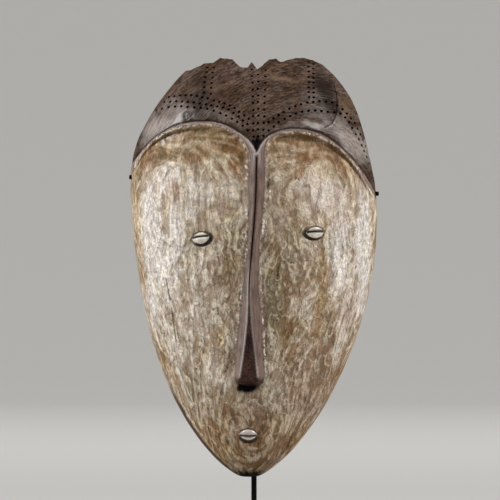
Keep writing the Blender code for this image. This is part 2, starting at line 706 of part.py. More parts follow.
def cowrie(name, materials):
    _, length, width, _ = COWRIES[name]
    floor, along, across, out = socket_frame(name)
    bm = bmesh.new()
    lanes = (-1.0, -0.86, -0.58, -0.26, -0.07, 0.07, 0.26, 0.58, 0.86, 1.0)
    stations = 13
    tops = []
    for k in range(stations):
        share = -math.cos(math.pi * k / (stations - 1))
        half = width / 2 * (1 - abs(share) ** 2.2) ** 0.5 * (1 + 0.10 * share)
        line = []
        for lane in lanes:
            crown = (1 - abs(share) ** 2.6) ** 0.5 * (1 - abs(lane) ** 2.3) ** 0.5
            rise = COWRIE_EDGE + (COWRIE_PROUD - COWRIE_EDGE) * crown
            if abs(lane) < 0.1 and abs(share) < 0.93:
                rise -= SLIT_DEPTH
            line.append((share * length / 2, lane * half, rise))
        tops.append(line)
    verts = [[bm.verts.new(point) for point in line] for line in tops]
    for low, high in zip(verts[:-1], verts[1:]):
        for k in range(len(lanes) - 1):
            bm.faces.new((low[k], high[k], high[k + 1], low[k + 1]))
    bmesh.ops.remove_doubles(bm, verts=bm.verts, dist=1e-6)
    rim = [edge for edge in bm.edges if edge.is_boundary]
    made = bmesh.ops.extrude_edge_only(bm, edges=rim)["geom"]
    for vert in (item for item in made if isinstance(item, bmesh.types.BMVert)):
        vert.co = (vert.co.x * 0.96, vert.co.y * 0.94, 0.0)
    bmesh.ops.holes_fill(bm, edges=[edge for edge in bm.edges if edge.is_boundary], sides=0)
    shell = object_from(bm, name, materials, 35)
    turn = Matrix((along, across, out)).transposed().to_4x4()
    shell.matrix_world = Matrix.Translation(Vector(to_world(np.array(floor))) + out * GAP) @ turn
    return shell


def main():
    clear_scene()
    dark_wood = material("dark_wood", (0.085, 0.062, 0.046), 0.62)
    white_clay = material("white_clay", (0.52, 0.46, 0.37), 0.85)
    shell = material("shell", (0.70, 0.66, 0.56), 0.28)
    black_metal = material("black_metal", (0.012, 0.012, 0.012), 0.45)
    mask = mask_shell([dark_wood, white_clay])
    boolean(mask, hollow_cutter(), "DIFFERENCE")
    side_holes(mask)
    for name in COWRIES:
        cowrie(name, [shell])
    stand_rod([black_metal])
    stand_foot([black_metal])


main()
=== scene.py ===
import math
from itertools import product

import bmesh
import bpy
import numpy as np
from mathutils import Matrix, Vector
from mathutils.geometry import delaunay_2d_cdt
from mathutils.kdtree import KDTree


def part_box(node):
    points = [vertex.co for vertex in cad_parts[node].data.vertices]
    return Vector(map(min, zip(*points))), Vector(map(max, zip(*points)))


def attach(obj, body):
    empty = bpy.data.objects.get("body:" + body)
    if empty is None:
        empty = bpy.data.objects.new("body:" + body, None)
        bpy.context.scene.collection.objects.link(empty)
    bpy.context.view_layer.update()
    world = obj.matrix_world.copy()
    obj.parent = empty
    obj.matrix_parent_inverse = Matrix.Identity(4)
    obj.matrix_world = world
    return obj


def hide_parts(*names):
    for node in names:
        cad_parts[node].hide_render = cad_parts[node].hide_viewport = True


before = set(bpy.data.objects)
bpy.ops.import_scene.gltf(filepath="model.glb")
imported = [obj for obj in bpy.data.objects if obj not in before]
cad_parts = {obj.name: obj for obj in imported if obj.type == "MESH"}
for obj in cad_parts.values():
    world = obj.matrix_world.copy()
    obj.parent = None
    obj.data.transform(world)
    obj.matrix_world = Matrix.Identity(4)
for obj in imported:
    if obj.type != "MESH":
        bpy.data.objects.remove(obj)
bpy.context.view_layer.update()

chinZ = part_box("mask")[0].z
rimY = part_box("mask")[1].y

# The mask as a smooth form, before any carving
form = {
    "halfWidth": 0.1356,
    "widest": 0.308,  # height of the widest place
    "archRise": 0.176,  # from there to the top of the arch, if nothing had broken off
    "depth": 0.100,
    "jawPower": 0.66,
    "crownDepthPower": 0.45,
    "jawDepthPower": 0.55,
    # the middle line wanders, as the outline was cut by eye: (h, x)
    "middle": (
        (0.0, -0.0055), (0.088, -0.0027), (0.236, 0.0016), (0.308, -0.0003), (0.358, -0.0031),
        (0.431, 0.0033), (0.484, 0.0045),
    ),
    "wander": 0.0005,  # how far the sides wander from a clean curve
    "chinFlat": 0.0026,
    "skinStep": 0.00140,
    "evenReach": 0.11,  # the strokes and grain are drawn as wide as they are on a form of this reach
}
hollow = {
    "rimWidth": 0.015,
    "wall": 0.019,
    "rise": 0.127,
    "drop": 0.280,
    "topPower": 0.42,
    "rows": 100,
    "columns": 74,
    "rimStep": 0.0040,
    "gougeWidth": 0.011,
    "gougeLength": 0.030,
    "gougeDepth": 0.0011,
}
# Decayed top edge, left to right: (x, h)
brokenTop = {
    "edge": (
        (-0.0705, 0.4510), (-0.0540, 0.4585), (-0.0450, 0.4590), (-0.0372, 0.4645), (-0.0235, 0.4626),
        (-0.0154, 0.4538), (-0.0066, 0.4533), (-0.0026, 0.4600), (0.0035, 0.4516), (0.0088, 0.4550),
        (0.0121, 0.4589), (0.0169, 0.4623), (0.0242, 0.4636), (0.0290, 0.4592), (0.0396, 0.4625),
        (0.0451, 0.4642), (0.0561, 0.4644), (0.0649, 0.4620), (0.0726, 0.4587),
    ),
    "splinter": 0.0006,
    "backEvenH": 0.457,
    "backUnevenShare": 0.35,
    "backDrop": 0.009,
    "rows": 18,
    "rot": 0.0016,  # how deep the rotten grain is
}
carving = {
    # lip of the whitened face under each brow, from the side of the mask to the nose
    "leftLip": (
        (-0.1330, 0.3440), (-0.1254, 0.3575), (-0.1144, 0.3707), (-0.0924, 0.3845), (-0.0704, 0.3898),
        (-0.0484, 0.3906), (-0.0264, 0.3839), (-0.0130, 0.3735), (-0.0078, 0.3640),
    ),
    "rightLip": (
        (0.1350, 0.3090), (0.1254, 0.3245), (0.1111, 0.3476), (0.0891, 0.3685), (0.0671, 0.3795),
        (0.0451, 0.3828), (0.0264, 0.3800), (0.0165, 0.3735), (0.0132, 0.3640),
    ),
    # carved line above each brow band, down into the pocket between the bands
    "leftBandTop": (
        (-0.1345, 0.3500), (-0.1200, 0.3668), (-0.1034, 0.3812), (-0.0814, 0.3917), (-0.0594, 0.3944),
        (-0.0374, 0.3927), (-0.0154, 0.3817), (-0.0022, 0.3705), (0.0027, 0.3620),
    ),
    "rightBandTop": (
        (0.1355, 0.3150), (0.1221, 0.3355), (0.1001, 0.3620), (0.0726, 0.3812), (0.0506, 0.3864),
        (0.0286, 0.3843), (0.0160, 0.3785), (0.0080, 0.3710), (0.0032, 0.3620),
    ),
    # how deep the face lies under the smooth form: (h, depth)
    "faceDrop": (
        (0.0, 0.0), (0.05, 0.0010), (0.12, 0.0038), (0.25, 0.0055), (0.37, 0.0068), (0.40, 0.0068),
    ),
    "lipShelf": 0.0015,
    "lipRun": 0.0024,
    "bandCrest": 0.0012,
    "crestShare": 0.45,
    "lineDepth": 0.0013,
    "lineRun": 0.0016,
    "pocket": (0.0034, 0.3740),
    "pocketRadius": 0.0062,
    "pocketDepth": 0.0040,
    "wobble": 0.00030,  # how unsteady the carved lines are
    "step": 0.0015,  # from point to point along them
}
nose = {
    # down from the brow: (h, left seam, left edge of the ridge, right edge of the ridge, right seam)
    "rows": (
        (0.3560, -0.0062, 0.0017, 0.0039, 0.0130), (0.3080, -0.0060, 0.0006, 0.0028, 0.0112),
        (0.2530, -0.0072, -0.0036, -0.0014, 0.0058), (0.2200, -0.0116, -0.0064, -0.0040, 0.0052),
        (0.1760, -0.0160, -0.0082, -0.0028, 0.0080), (0.1320, -0.0203, -0.0132, 0.0022, 0.0105),
        (0.1150, -0.0212, -0.0158, 0.0040, 0.0116),
    ),
    "end": 0.1035,
    "middleX": -0.0048,
    # how far the ridge stands over the smooth form: (h, height)
    "proud": (
        (0.095, 0.0185), (0.115, 0.0180), (0.154, 0.0135), (0.198, 0.0080), (0.253, 0.0030),
        (0.330, 0.0012), (0.370, 0.0),
    ),
    "tipRound": 0.0032,
    "tipRun": 0.008,
    "undercut": 0.006,
    "undercutRun": 0.009,
    "groove": 0.0013,
    "grooveHalfWidth": 0.0009,
    "grooveEnds": (0.195, 0.235),
    # between these heights, and this close to the middle, the brow bands turn into the flanks
    "bandToNose": (0.346, 0.370),
    "reach": ((0.335, 0.030), (0.360, 0.016)),
}
# Finer relief of the surfaces, in metres
surface = {
    "swell": 0.0006,
    "chisel": 0.00085,  # how deep the chisel's facets on the face are
    "adze": (0.0120, 0.0340, 0.00055),  # width, length and depth of the marks on the forehead
    "stroke": 0.00013,  # fine grain of the forehead
    "crust": 0.00045,  # how thick the clay stands
    "lump": 0.00045,  # clay heaped along the brows
    "heap": 0.0009,  # and along the nose
    "seamPit": 0.0007,
    "capTurn": (0.055, 0.300),  # the forehead's strokes circle round this place
    # cracks and nicks: points (x, h), half width, depth
    "cracks": (
        (((0.0880, 0.4345), (0.0905, 0.4240), (0.0912, 0.4120), (0.0895, 0.3990), (0.0845, 0.3905),
          (0.0780, 0.3872)), 0.0009, 0.0007),
        (((-0.0968, 0.2215), (-0.0938, 0.2070), (-0.0918, 0.1990)), 0.0009, 0.0006),
        (((-0.0905, 0.1900), (-0.0885, 0.1760), (-0.0855, 0.1530)), 0.0009, 0.0007),
        (((0.1160, 0.3935), (0.1185, 0.3905)), 0.0014, 0.0012),
        (((0.0455, 0.3310), (0.0468, 0.3322), (0.0482, 0.3308), (0.0490, 0.3292)), 0.0008, 0.0006),
        (((0.0265, 0.2350), (0.0250, 0.2200), (0.0262, 0.2080)), 0.0007, 0.0005),
    ),
    "blisters": (((0.0165, 0.3300), 0.0017, 0.0006), ((0.0360, 0.1960), 0.0012, 0.0003)),
}
dotWork = {
    "radius": 0.00145,
    "depth": 0.0022,
    "wobble": 0.0007,
    # the points that a row passes through, (x, h), and how many dots it has
    "rows": (
        (((-0.0025, 0.4510), (-0.0011, 0.4150), (-0.0006, 0.3768)), 11),
        (((0.0044, 0.4452), (0.0044, 0.3773)), 10),
        (((0.0128, 0.4505), (0.0117, 0.4150), (0.0099, 0.3773)), 11),
        (((-0.0501, 0.4593), (-0.0520, 0.4488), (-0.0544, 0.4367), (-0.0546, 0.4260)), 7),
        (((-0.0435, 0.4593), (-0.0458, 0.4416), (-0.0473, 0.4246)), 7),
        (((-0.0941, 0.4213), (-0.0726, 0.4235), (-0.0484, 0.4186), (-0.0248, 0.4103), (-0.0055, 0.3966)), 16),
        (((-0.0985, 0.4158), (-0.0770, 0.4164), (-0.0539, 0.4127), (-0.0281, 0.4070), (-0.0074, 0.3905)), 16),
        (((-0.1078, 0.4070), (-0.0963, 0.4098), (-0.0723, 0.4103), (-0.0451, 0.4059), (-0.0195, 0.3938),
          (-0.0072, 0.3839)), 16),
        (((0.0602, 0.4604), (0.0602, 0.4206)), 8),
        (((0.0653, 0.4576), (0.0653, 0.4206)), 8),
        (((0.0157, 0.3930), (0.0371, 0.4070), (0.0608, 0.4150), (0.0869, 0.4142), (0.1073, 0.3977),
          (0.1205, 0.3729), (0.1257, 0.3616)), 22),
        (((0.0160, 0.3839), (0.0352, 0.3977), (0.0586, 0.4057), (0.0820, 0.4048), (0.0941, 0.4037),
          (0.1106, 0.3828), (0.1235, 0.3575), (0.1268, 0.3487)), 22),
    ),
}
# Shells: place (x, h), length across the face, width, tilt in degrees, where the slit runs, how wide
# it is open, how much painted shade greys the shell above it, and the gaps that the seat leaves
# round the shell: left, right, below, above
cowries = {
    "cowrie_eye_left": {"at": (-0.0588, 0.2660), "length": 0.0205, "width": 0.0128, "tilt": 8.0, "slit": 0.24,
                        "open": 1.5, "upperShade": 0.15, "gaps": (0.0004, 0.0036, 0.0028, 0.0002)},
    "cowrie_eye_right": {"at": (0.0671, 0.2722), "length": 0.0212, "width": 0.0126, "tilt": 2.0, "slit": 0.14,
                         "open": 2.3, "upperShade": 0.30, "gaps": (0.0034, 0.0004, 0.0022, 0.0002)},
    "cowrie_mouth": {"at": (-0.0066, 0.0500), "length": 0.0200, "width": 0.0134, "tilt": 0.0, "slit": -0.14,
                     "open": 1.6, "upperShade": 0.85, "gaps": (0.0010, 0.0014, 0.0042, 0.0002)},
}
cowrieShape = {
    "proud": 0.0058,
    "edge": 0.0013,
    "valleyDepth": 0.0013,
    "valleyHalfWidth": 0.0021,
    "slitDepth": 0.0024,
    "slitHalfWidth": 0.00078,
    "teeth": 12,
    "toothDepth": 0.000275,
    "gap": 0.0003,
    "stations": 110,
    "lanes": 72,
}
socket = {"depth": 0.0022, "floorRing": 1.01, "rimRing": 1.12, "sides": 44}
armTips = {"radius": 0.0024, "gap": 0.0003, "reach": 0.1375, "inset": 0.012, "bend": 0.030,
           "rodY": 0.044, "heights": (0.3335, 0.3150), "holeSides": 16}


# Curves and distances

def hermite(places, values, at):
    places = np.asarray(places, float)
    values = np.asarray(values, float)
    slopes = np.gradient(values, places)
    at = np.clip(at, places[0], places[-1])
    k = np.clip(np.searchsorted(places, at) - 1, 0, len(places) - 2)
    span = places[k + 1] - places[k]
    t = (at - places[k]) / span
    rest = 1 - t
    return (values[k] * (1 + 2 * t) * rest**2 + values[k + 1] * t**2 * (3 - 2 * t)
            + slopes[k] * span * t * rest**2 - slopes[k + 1] * span * t**2 * rest)


def runAlong(points):
    # how far along the polyline each of its points is
    return np.concatenate([[0], np.cumsum(np.hypot(*np.diff(points, axis=0).T))])


def smoothLine(points, step, between=hermite):
    # a smooth line through the points, cut into even steps
    points = np.asarray(points, float)
    run = runAlong(points)
    at = np.linspace(0, run[-1], max(2, round(run[-1] / step) + 1))
    return np.column_stack([between(run, points[:, 0], at), between(run, points[:, 1], at)])


def evenly(points, step):
    # the same polyline, cut into even steps
    return smoothLine(points, step, lambda run, values, at: np.interp(at, run, values))


def fromTable(rows, at):
    rows = sorted(rows)
    return hermite([row[0] for row in rows], [row[1] for row in rows], at)


def fade(low, high, value):
    t = np.clip((value - low) / (high - low), 0, 1)
    return t * t * (3 - 2 * t)


def treeOf(points):
    tree = KDTree(len(points))
    for k, point in enumerate(points):
        tree.insert((point[0], point[1], 0.0), k)
    tree.balance()
    return tree


def distanceTo(line, x, h):
    tree = treeOf(evenly(line, 0.00025))
    return np.array([tree.find((px, ph, 0.0))[2] for px, ph in zip(x, h)])


def isInside(x, h, outline):
    found = np.zeros(np.shape(x), bool)
    for (ax, ah), (bx, bh) in zip(outline, np.roll(outline, -1, axis=0)):
        if ah != bh:
            crosses = (h > min(ah, bh)) & (h <= max(ah, bh))
            found ^= crosses & (x < ax + (h - ah) / (bh - ah) * (bx - ax))
    return found


# Unevenness

leans = np.random.default_rng(7).normal(size=(4096, 3))
leans /= np.linalg.norm(leans, axis=1, keepdims=True)


def waves(places, size, seed=0):
    # smooth noise, about -1 to 1, with humps as wide as size, which may differ by axis
    at = np.asarray(places, float) / np.asarray(size, float) + seed * 13.37
    cell = np.floor(at).astype(np.int64)
    part = at - cell
    ease = part**3 * (part * (part * 6 - 15) + 10)
    total = np.zeros(len(at))
    for corner in product((0, 1), repeat=3):
        spot = cell + corner
        code = (spot[:, 0] * 73856093) ^ (spot[:, 1] * 19349663) ^ (spot[:, 2] * 83492791)
        share = np.prod(np.where(corner, ease, 1 - ease), axis=1)
        total += share * np.einsum("ij,ij->i", leans[(code ^ (code >> 13)) & 4095], part - corner)
    return total * 1.6


def roughness(places, size, octaves, seed=0, keep=0.5):
    size = np.asarray(size, float)
    return sum(keep**k * waves(places, size / 2**k, seed + k) for k in range(octaves))


def toolCells(u, v, width, length, seed=0):
    # how deep each place lies in its tool mark, 0 at the mark's border and 1 in its middle,
    # and a number from -1 to 1 that is the mark's own
    at = np.column_stack([u / width, v / length])
    cell = np.floor(at).astype(np.int64)
    near = np.full(len(at), 9.0)
    second = np.full(len(at), 9.0)
    own = np.zeros(len(at))
    for step in product((-1, 0, 1), repeat=2):
        spot = cell + step
        code = ((spot[:, 0] * 73856093) ^ (spot[:, 1] * 19349663) ^ (seed * 83492791))
        lean = leans[(code ^ (code >> 11)) & 4095]
        far = np.hypot(*(at - spot - 0.5 - 0.42 * lean[:, :2]).T)
        second = np.minimum(second, np.maximum(near, far))
        own = np.where(far < near, lean[:, 2], own)
        near = np.minimum(near, far)
    return np.clip((second - near) * 1.6, 0, 1), own


# Objects

def addObject(name, data):
    made = bpy.data.objects.new(name, data)
    bpy.context.scene.collection.objects.link(made)
    return made


def meshFrom(bm, name):
    mesh = bpy.data.meshes.new(name)
    bm.to_mesh(mesh)
    bm.free()
    return mesh


# Outer form of the mask

def halfWidth(h):
    up = np.clip((h - form["widest"]) / form["archRise"], 0, 1)
    down = np.clip((form["widest"] - h) / form["widest"], 0, 1)
    return form["halfWidth"] * (1 - up**2) ** 0.5 * (1 - down**2) ** form["jawPower"]


def depthAt(h):
    up = np.clip((h - form["widest"]) / form["archRise"], 0, 1)
    down = np.clip((form["widest"] - h) / form["widest"], 0, 1)
    return form["depth"] * (1 - up**2) ** form["crownDepthPower"] * (1 - down**2) ** form["jawDepthPower"]


def middleAt(h):
    return fromTable(form["middle"], h)


reachUp = math.hypot(form["archRise"], form["depth"]) / math.sqrt(2)
reachDown = math.hypot(form["widest"], form["depth"]) / math.sqrt(2)


def reachAt(h):
    return np.sqrt((halfWidth(h) ** 2 + depthAt(h) ** 2) / 2)


def sheetFromFront(x, h):
    # the skin laid out flat, so that triangles of even size there are even on the mask
    turn = np.arcsin(np.clip((x - middleAt(h)) / np.maximum(halfWidth(h), 1e-6), -1, 1))
    up = np.arcsin(np.clip((h - form["widest"]) / form["archRise"], 0, 1)) * reachUp
    down = np.arcsin(np.clip((form["widest"] - h) / form["widest"], 0, 1)) * reachDown
    return turn * reachAt(h), up - down


def frontFromSheet(p, q):
    above = form["archRise"] * np.sin(np.maximum(q, 0) / reachUp)
    below = form["widest"] * np.sin(np.minimum(q, 0) / reachDown)
    h = form["widest"] + above + below
    turn = np.clip(p / np.maximum(reachAt(h), 1e-6), -math.pi / 2, math.pi / 2)
    return turn, h


def formAt(p, q):
    # places on the smooth skin, and the direction outward
    turn, h = frontFromSheet(p, q)
    side = halfWidth(h) * np.cos(turn) + 1e-9
    across = np.stack([side, depthAt(h) * np.sin(turn), np.zeros_like(side)], axis=-1)
    low = np.clip(h - 1e-4, 1e-4, None)
    high = h + 1e-4
    up = np.stack([
        middleAt(high) - middleAt(low) + (halfWidth(high) - halfWidth(low)) * np.sin(turn),
        -(depthAt(high) - depthAt(low)) * np.cos(turn),
        high - low,
    ], axis=-1)
    out = np.cross(across, up)
    out /= np.maximum(np.linalg.norm(out, axis=-1, keepdims=True), 1e-12)
    places = np.stack([middleAt(h) + halfWidth(h) * np.sin(turn), -depthAt(h) * np.cos(turn), h], axis=-1)
    return places, out


# Lines of the carving, in front view

def unsteady(line, seed):
    places = np.column_stack([line, np.zeros(len(line))])
    shift = [waves(places, 0.0045, seed + k) + 0.6 * waves(places, 0.0018, seed + k + 5) for k in (0, 1)]
    ends = np.minimum(np.arange(len(line)), np.arange(len(line))[::-1])
    return line + carving["wobble"] * np.column_stack(shift) * np.clip(ends / 3, 0, 1)[:, None]


def noseLine(column, h):
    return fromTable([(row[0], row[column]) for row in nose["rows"]], h)


def ridgeMiddle(h):
    return (noseLine(2, h) + noseLine(3, h)) / 2


def noseSide(column):
    step = carving["step"]
    h = np.arange(nose["rows"][0][0], nose["rows"][-1][0] - step / 2, -step)
    return np.column_stack([noseLine(column, h), h])


def faceEdge():
    # left lip, round the nose, right lip
    step, foot = carving["step"], nose["rows"][-1]
    under = [(foot[1] + 0.0010, nose["end"] + 0.0042), (foot[1] + 0.0040, nose["end"] + 0.0006),
             (foot[1] + 0.0095, nose["end"] - 0.0020), (foot[4] - 0.0095, nose["end"] - 0.0020),
             (foot[4] - 0.0040, nose["end"] + 0.0006), (foot[4] - 0.0010, nose["end"] + 0.0042)]
    line = np.vstack([
        smoothLine(carving["leftLip"], step), noseSide(1), [(foot[1], foot[0])], under,
        [(foot[4], foot[0])], noseSide(4)[::-1], smoothLine(carving["rightLip"], step)[::-1],
    ])
    return unsteady(evenly(line, step), 3)


def bandLine():
    left, right = (smoothLine(carving[name], carving["step"]) for name in ("leftBandTop", "rightBandTop"))
    return unsteady(evenly(np.vstack([left, right[::-1]]), carving["step"]), 11)


def ridgeOutline():
    # the nose's front: a carved line at its top that opens into a flat towards the tip
    left, right, foot = noseSide(2), noseSide(3), nose["rows"][-1]
    tip = [(foot[2] - 0.0012, nose["end"] + 0.0058), (foot[2] + 0.0036, nose["end"] + 0.0018),
           (foot[3] - 0.0036, nose["end"] + 0.0018), (foot[3] + 0.0012, nose["end"] + 0.0058)]
    end = evenly(np.vstack([left[-1], tip, right[-1]]), carving["step"])
    return np.vstack([left, end[1:-1], right[::-1]])


def dotPlaces():
    found = []
    for number, (points, count) in enumerate(dotWork["rows"]):
        line = smoothLine(points, 0.001)
        run = runAlong(line)
        at = np.linspace(0, run[-1], count)
        x, h = np.interp(at, run, line[:, 0]), np.interp(at, run, line[:, 1])
        steps = np.column_stack([at, np.arange(count) * 0.004, np.full(count, number * 0.01)])
        x = x + dotWork["wobble"] * waves(steps, 0.0013, 21)
        h = h + dotWork["wobble"] * waves(steps, 0.0013, 22)
        found.append(np.column_stack([x, h]))
    return np.vstack(found)


edge, band, ridge = faceEdge(), bandLine(), ridgeOutline()


def zonesAt(x, h):
    # what each place on the skin belongs to, and how far it is from the carved lines
    far = 0.3
    face = np.vstack([[(-far, edge[0][1])], edge, [(far, edge[-1][1])], [(far, -far), (-far, -far)]])
    cap = np.vstack([[(-far, band[0][1])], band, [(far, band[-1][1])], [(far, 1.0), (-far, 1.0)]])
    zone = {"x": x, "h": h, "inFace": isInside(x, h, face), "inCap": isInside(x, h, cap),
            "inRidge": isInside(x, h, ridge), "fromEdge": distanceTo(edge, x, h),
            "fromBand": distanceTo(band, x, h), "fromRidge": distanceTo(ridge, x, h)}
    zone["faceShare"], zone["capShare"], zone["ridgeShare"] = (
        0.5 + 0.5 * np.where(zone[inside], 1, -1) * fade(0, 0.0008, zone[away])
        for inside, away in (("inFace", "fromEdge"), ("inCap", "fromBand"), ("inRidge", "fromRidge")))
    fromInner = np.minimum(zone["fromBand"], zone["fromRidge"])
    zone["across"] = zone["fromEdge"] / np.maximum(zone["fromEdge"] + fromInner, 1e-9)
    zone["sideways"] = np.clip((x - middleAt(h)) / np.maximum(halfWidth(h), 1e-6), -1, 1)
    reach = np.interp(h, *zip(*nose["reach"]))
    toNose = nose["bandToNose"]
    fromPocket = np.abs(x - carving["pocket"][0])
    zone["onNose"] = fade(toNose[1], toNose[0], h) * fade(reach + 0.004, reach, fromPocket)
    return zone


def carvedLevel(zone):
    # height of the main carving over the smooth form
    x, h, onNose, across = zone["x"], zone["h"], zone["onNose"], zone["across"]
    within = 1 - zone["sideways"] ** 4
    drop = fromTable(carving["faceDrop"], h) * within
    proud = fromTable(nose["proud"], h)
    lip = -drop * onNose
    pastShelf = (zone["fromEdge"] - carving["lipShelf"] * (1 - onNose)) / carving["lipRun"]
    levelFace = lip + (-drop - lip) * fade(0, 1, pastShelf)
    crest = np.clip(across / carving["crestShare"], 0, 1)
    pastCrest = np.clip((across - carving["crestShare"]) / (1 - carving["crestShare"]), 0, 1)
    levelBand = carving["bandCrest"] * np.sin(crest * math.pi / 2)
    levelBand = levelBand - (carving["bandCrest"] + carving["lineDepth"]) * fade(0, 1, pastCrest) ** 1.2
    levelFlank = -drop + (proud + drop) * (across + 0.22 * across * (1 - across))
    between = levelBand * within * (1 - onNose) + levelFlank * onNose
    pastLine = np.clip(zone["fromBand"] / carving["lineRun"], 0, 1)
    levelCap = -carving["lineDepth"] * (1 - pastLine) ** 1.5 * within
    fromPocket = np.hypot((x - carving["pocket"][0]) * 1.9, h - carving["pocket"][1])
    levelCap = levelCap - carving["pocketDepth"] * np.clip(1 - fromPocket / carving["pocketRadius"], 0, 1)
    level = np.where(zone["inFace"], levelFace, between)
    level = np.where(zone["inCap"], levelCap, level)
    fromGroove = np.abs(x - ridgeMiddle(h))
    inGroove = np.clip(1 - fromGroove / nose["grooveHalfWidth"], 0, 1)
    groove = nose["groove"] * inGroove * fade(*nose["grooveEnds"], h)
    width = np.maximum(noseLine(3, h) - noseLine(2, h), 0.001) / 2
    dish = 0.0004 * np.clip(1 - (fromGroove / width) ** 2, 0, 1) * fade(0.215, 0.18, h)
    rounded = nose["tipRound"] * np.clip(1 - (h - nose["end"]) / nose["tipRun"], 0, 1) ** 2
    level = np.where(zone["inRidge"] & ~zone["inCap"], proud - groove - dish, level)
    return level - rounded * np.clip((level + drop) / 0.008, 0, 1) * ~zone["inFace"]


def layOf(zone):
    # coordinates that run across and along the strokes of the tools and the brush
    x, h = zone["x"], zone["h"]
    across = np.arcsin(zone["sideways"]) * unrolled(h)
    fromX, fromH = x - surface["capTurn"][0], h - surface["capTurn"][1]
    lay = np.column_stack([across, h, 0 * x])
    onCap = np.column_stack([np.hypot(fromX, fromH), -0.13 * np.arctan2(fromX, fromH), 0 * x + 0.5])
    onBand = np.column_stack([zone["fromEdge"], h - 0.6 * np.abs(x), 0 * x + 0.3])
    lay = np.where((~zone["inFace"] & ~zone["inRidge"])[:, None], onBand, lay)
    return np.where(zone["inCap"][:, None], onCap, lay)


# Brush and chisel marks of the clay, on a grid of the face laid flat: across as in layOf, and h
clayGrid = {
    "cell": 0.0008,
    "reach": 0.190,
    "low": -0.006,
    "high": 0.492,
    "onMask": (0.004, 0.470),  # heights between which the mask has a width
    "lobes": ((-0.076, 0.300), (0.078, 0.306)),  # high up, the brush went round these places
    "circled": (0.262, 0.318),  # more and more, between these heights
    "mouth": (-0.006, 0.048),  # and low down, round the mouth
    "circledLow": (0.108, 0.070),
    "sway": 0.42,  # how far the brush swayed from that, as an angle
    "strokes": ((0.0060, 0.036), (0.0025, 0.021), (0.0012, 0.0120)),  # widths and lengths
    "facet": (0.0092, 0.0270),  # width and length of the chisel's facets
    "facetSway": 0.0030,
    # places where the clay is more even: as in the patches below
    "calm": (
        (72, 322, 56, 62, 0, 0.38), (-62, 372, 66, 26, 0, 0.35), (62, 366, 60, 26, 0, 0.35),
        (60, 220, 60, 110, 0, 0.15), (-62, 230, 56, 110, 0, 0.10),
    ),
}
gridAcross, gridH = np.meshgrid(
    np.arange(-clayGrid["reach"], clayGrid["reach"], clayGrid["cell"]),
    np.arange(clayGrid["low"], clayGrid["high"], clayGrid["cell"]))
heldH = np.clip(gridH, *clayGrid["onMask"])


def cloud(size, seed):
    # smooth unevenness over the grid, with patches of that size (across, up) and a spread of 1
    rows, columns = gridH.shape
    up = np.fft.fftfreq(rows, clayGrid["cell"])[:, None] * size[1]
    across = np.fft.fftfreq(columns, clayGrid["cell"])[None] * size[0]
    rough = np.random.default_rng(seed).normal(size=gridH.shape)
    made = np.fft.ifft2(np.fft.fft2(rough) * np.exp(-3.2 * (across**2 + up**2))).real
    return made / made.std()


def unrolled(h):
    # how far one radian round the mask reaches across the grid
    return np.sqrt(reachAt(h) * form["evenReach"])


def brushHeading():
    # direction of the brush as an angle from straight across
    turn = gridAcross / unrolled(heldH)
    down = np.arctan2(0.002, turn * (unrolled(heldH + 0.001) - unrolled(heldH - 0.001)))
    centres = np.array([*clayGrid["lobes"], clayGrid["mouth"]])
    centre = np.where(gridH < clayGrid["circledLow"][0], 2, np.where(gridAcross < 0, 0, 1))
    fromX, fromH = gridAcross - centres[centre, 0], gridH - centres[centre, 1]
    circling = np.arctan2(fromH, fromX) + math.pi / 2
    away = np.hypot(fromX, fromH)
    share = 0.85 * fade(*clayGrid["circled"], gridH) * fade(0.018, 0.060, away)
    share = share + 0.80 * fade(*clayGrid["circledLow"], gridH) * fade(0.006, 0.014, away)
    mixed = (1 - share) * np.exp(2j * down) + share * np.exp(2j * circling)
    return np.angle(mixed) / 2 + clayGrid["sway"] * (0.6 + 0.4 * share) * cloud((0.034, 0.042), 201)


def drawnOut(field, heading, length):
    # the field smeared along the brush's direction, into strokes of that length
    rows, columns = np.indices(field.shape)
    lastRow, lastColumn = np.array(field.shape) - 1
    total = field.copy()
    for way in (0, math.pi):
        r, c, turn = rows.astype(float), columns.astype(float), heading + way
        for _ in range(round(length / clayGrid["cell"] / 2)):
            r = np.clip(r + np.sin(turn), 0, lastRow)
            c = np.clip(c + np.cos(turn), 0, lastColumn)
            atRow, atColumn = np.rint(r).astype(int), np.rint(c).astype(int)
            total += field[atRow, atColumn]
            ahead = heading[atRow, atColumn]
            turn = np.where(np.cos(ahead - turn) < 0, ahead + math.pi, ahead)
    return total / total.std()


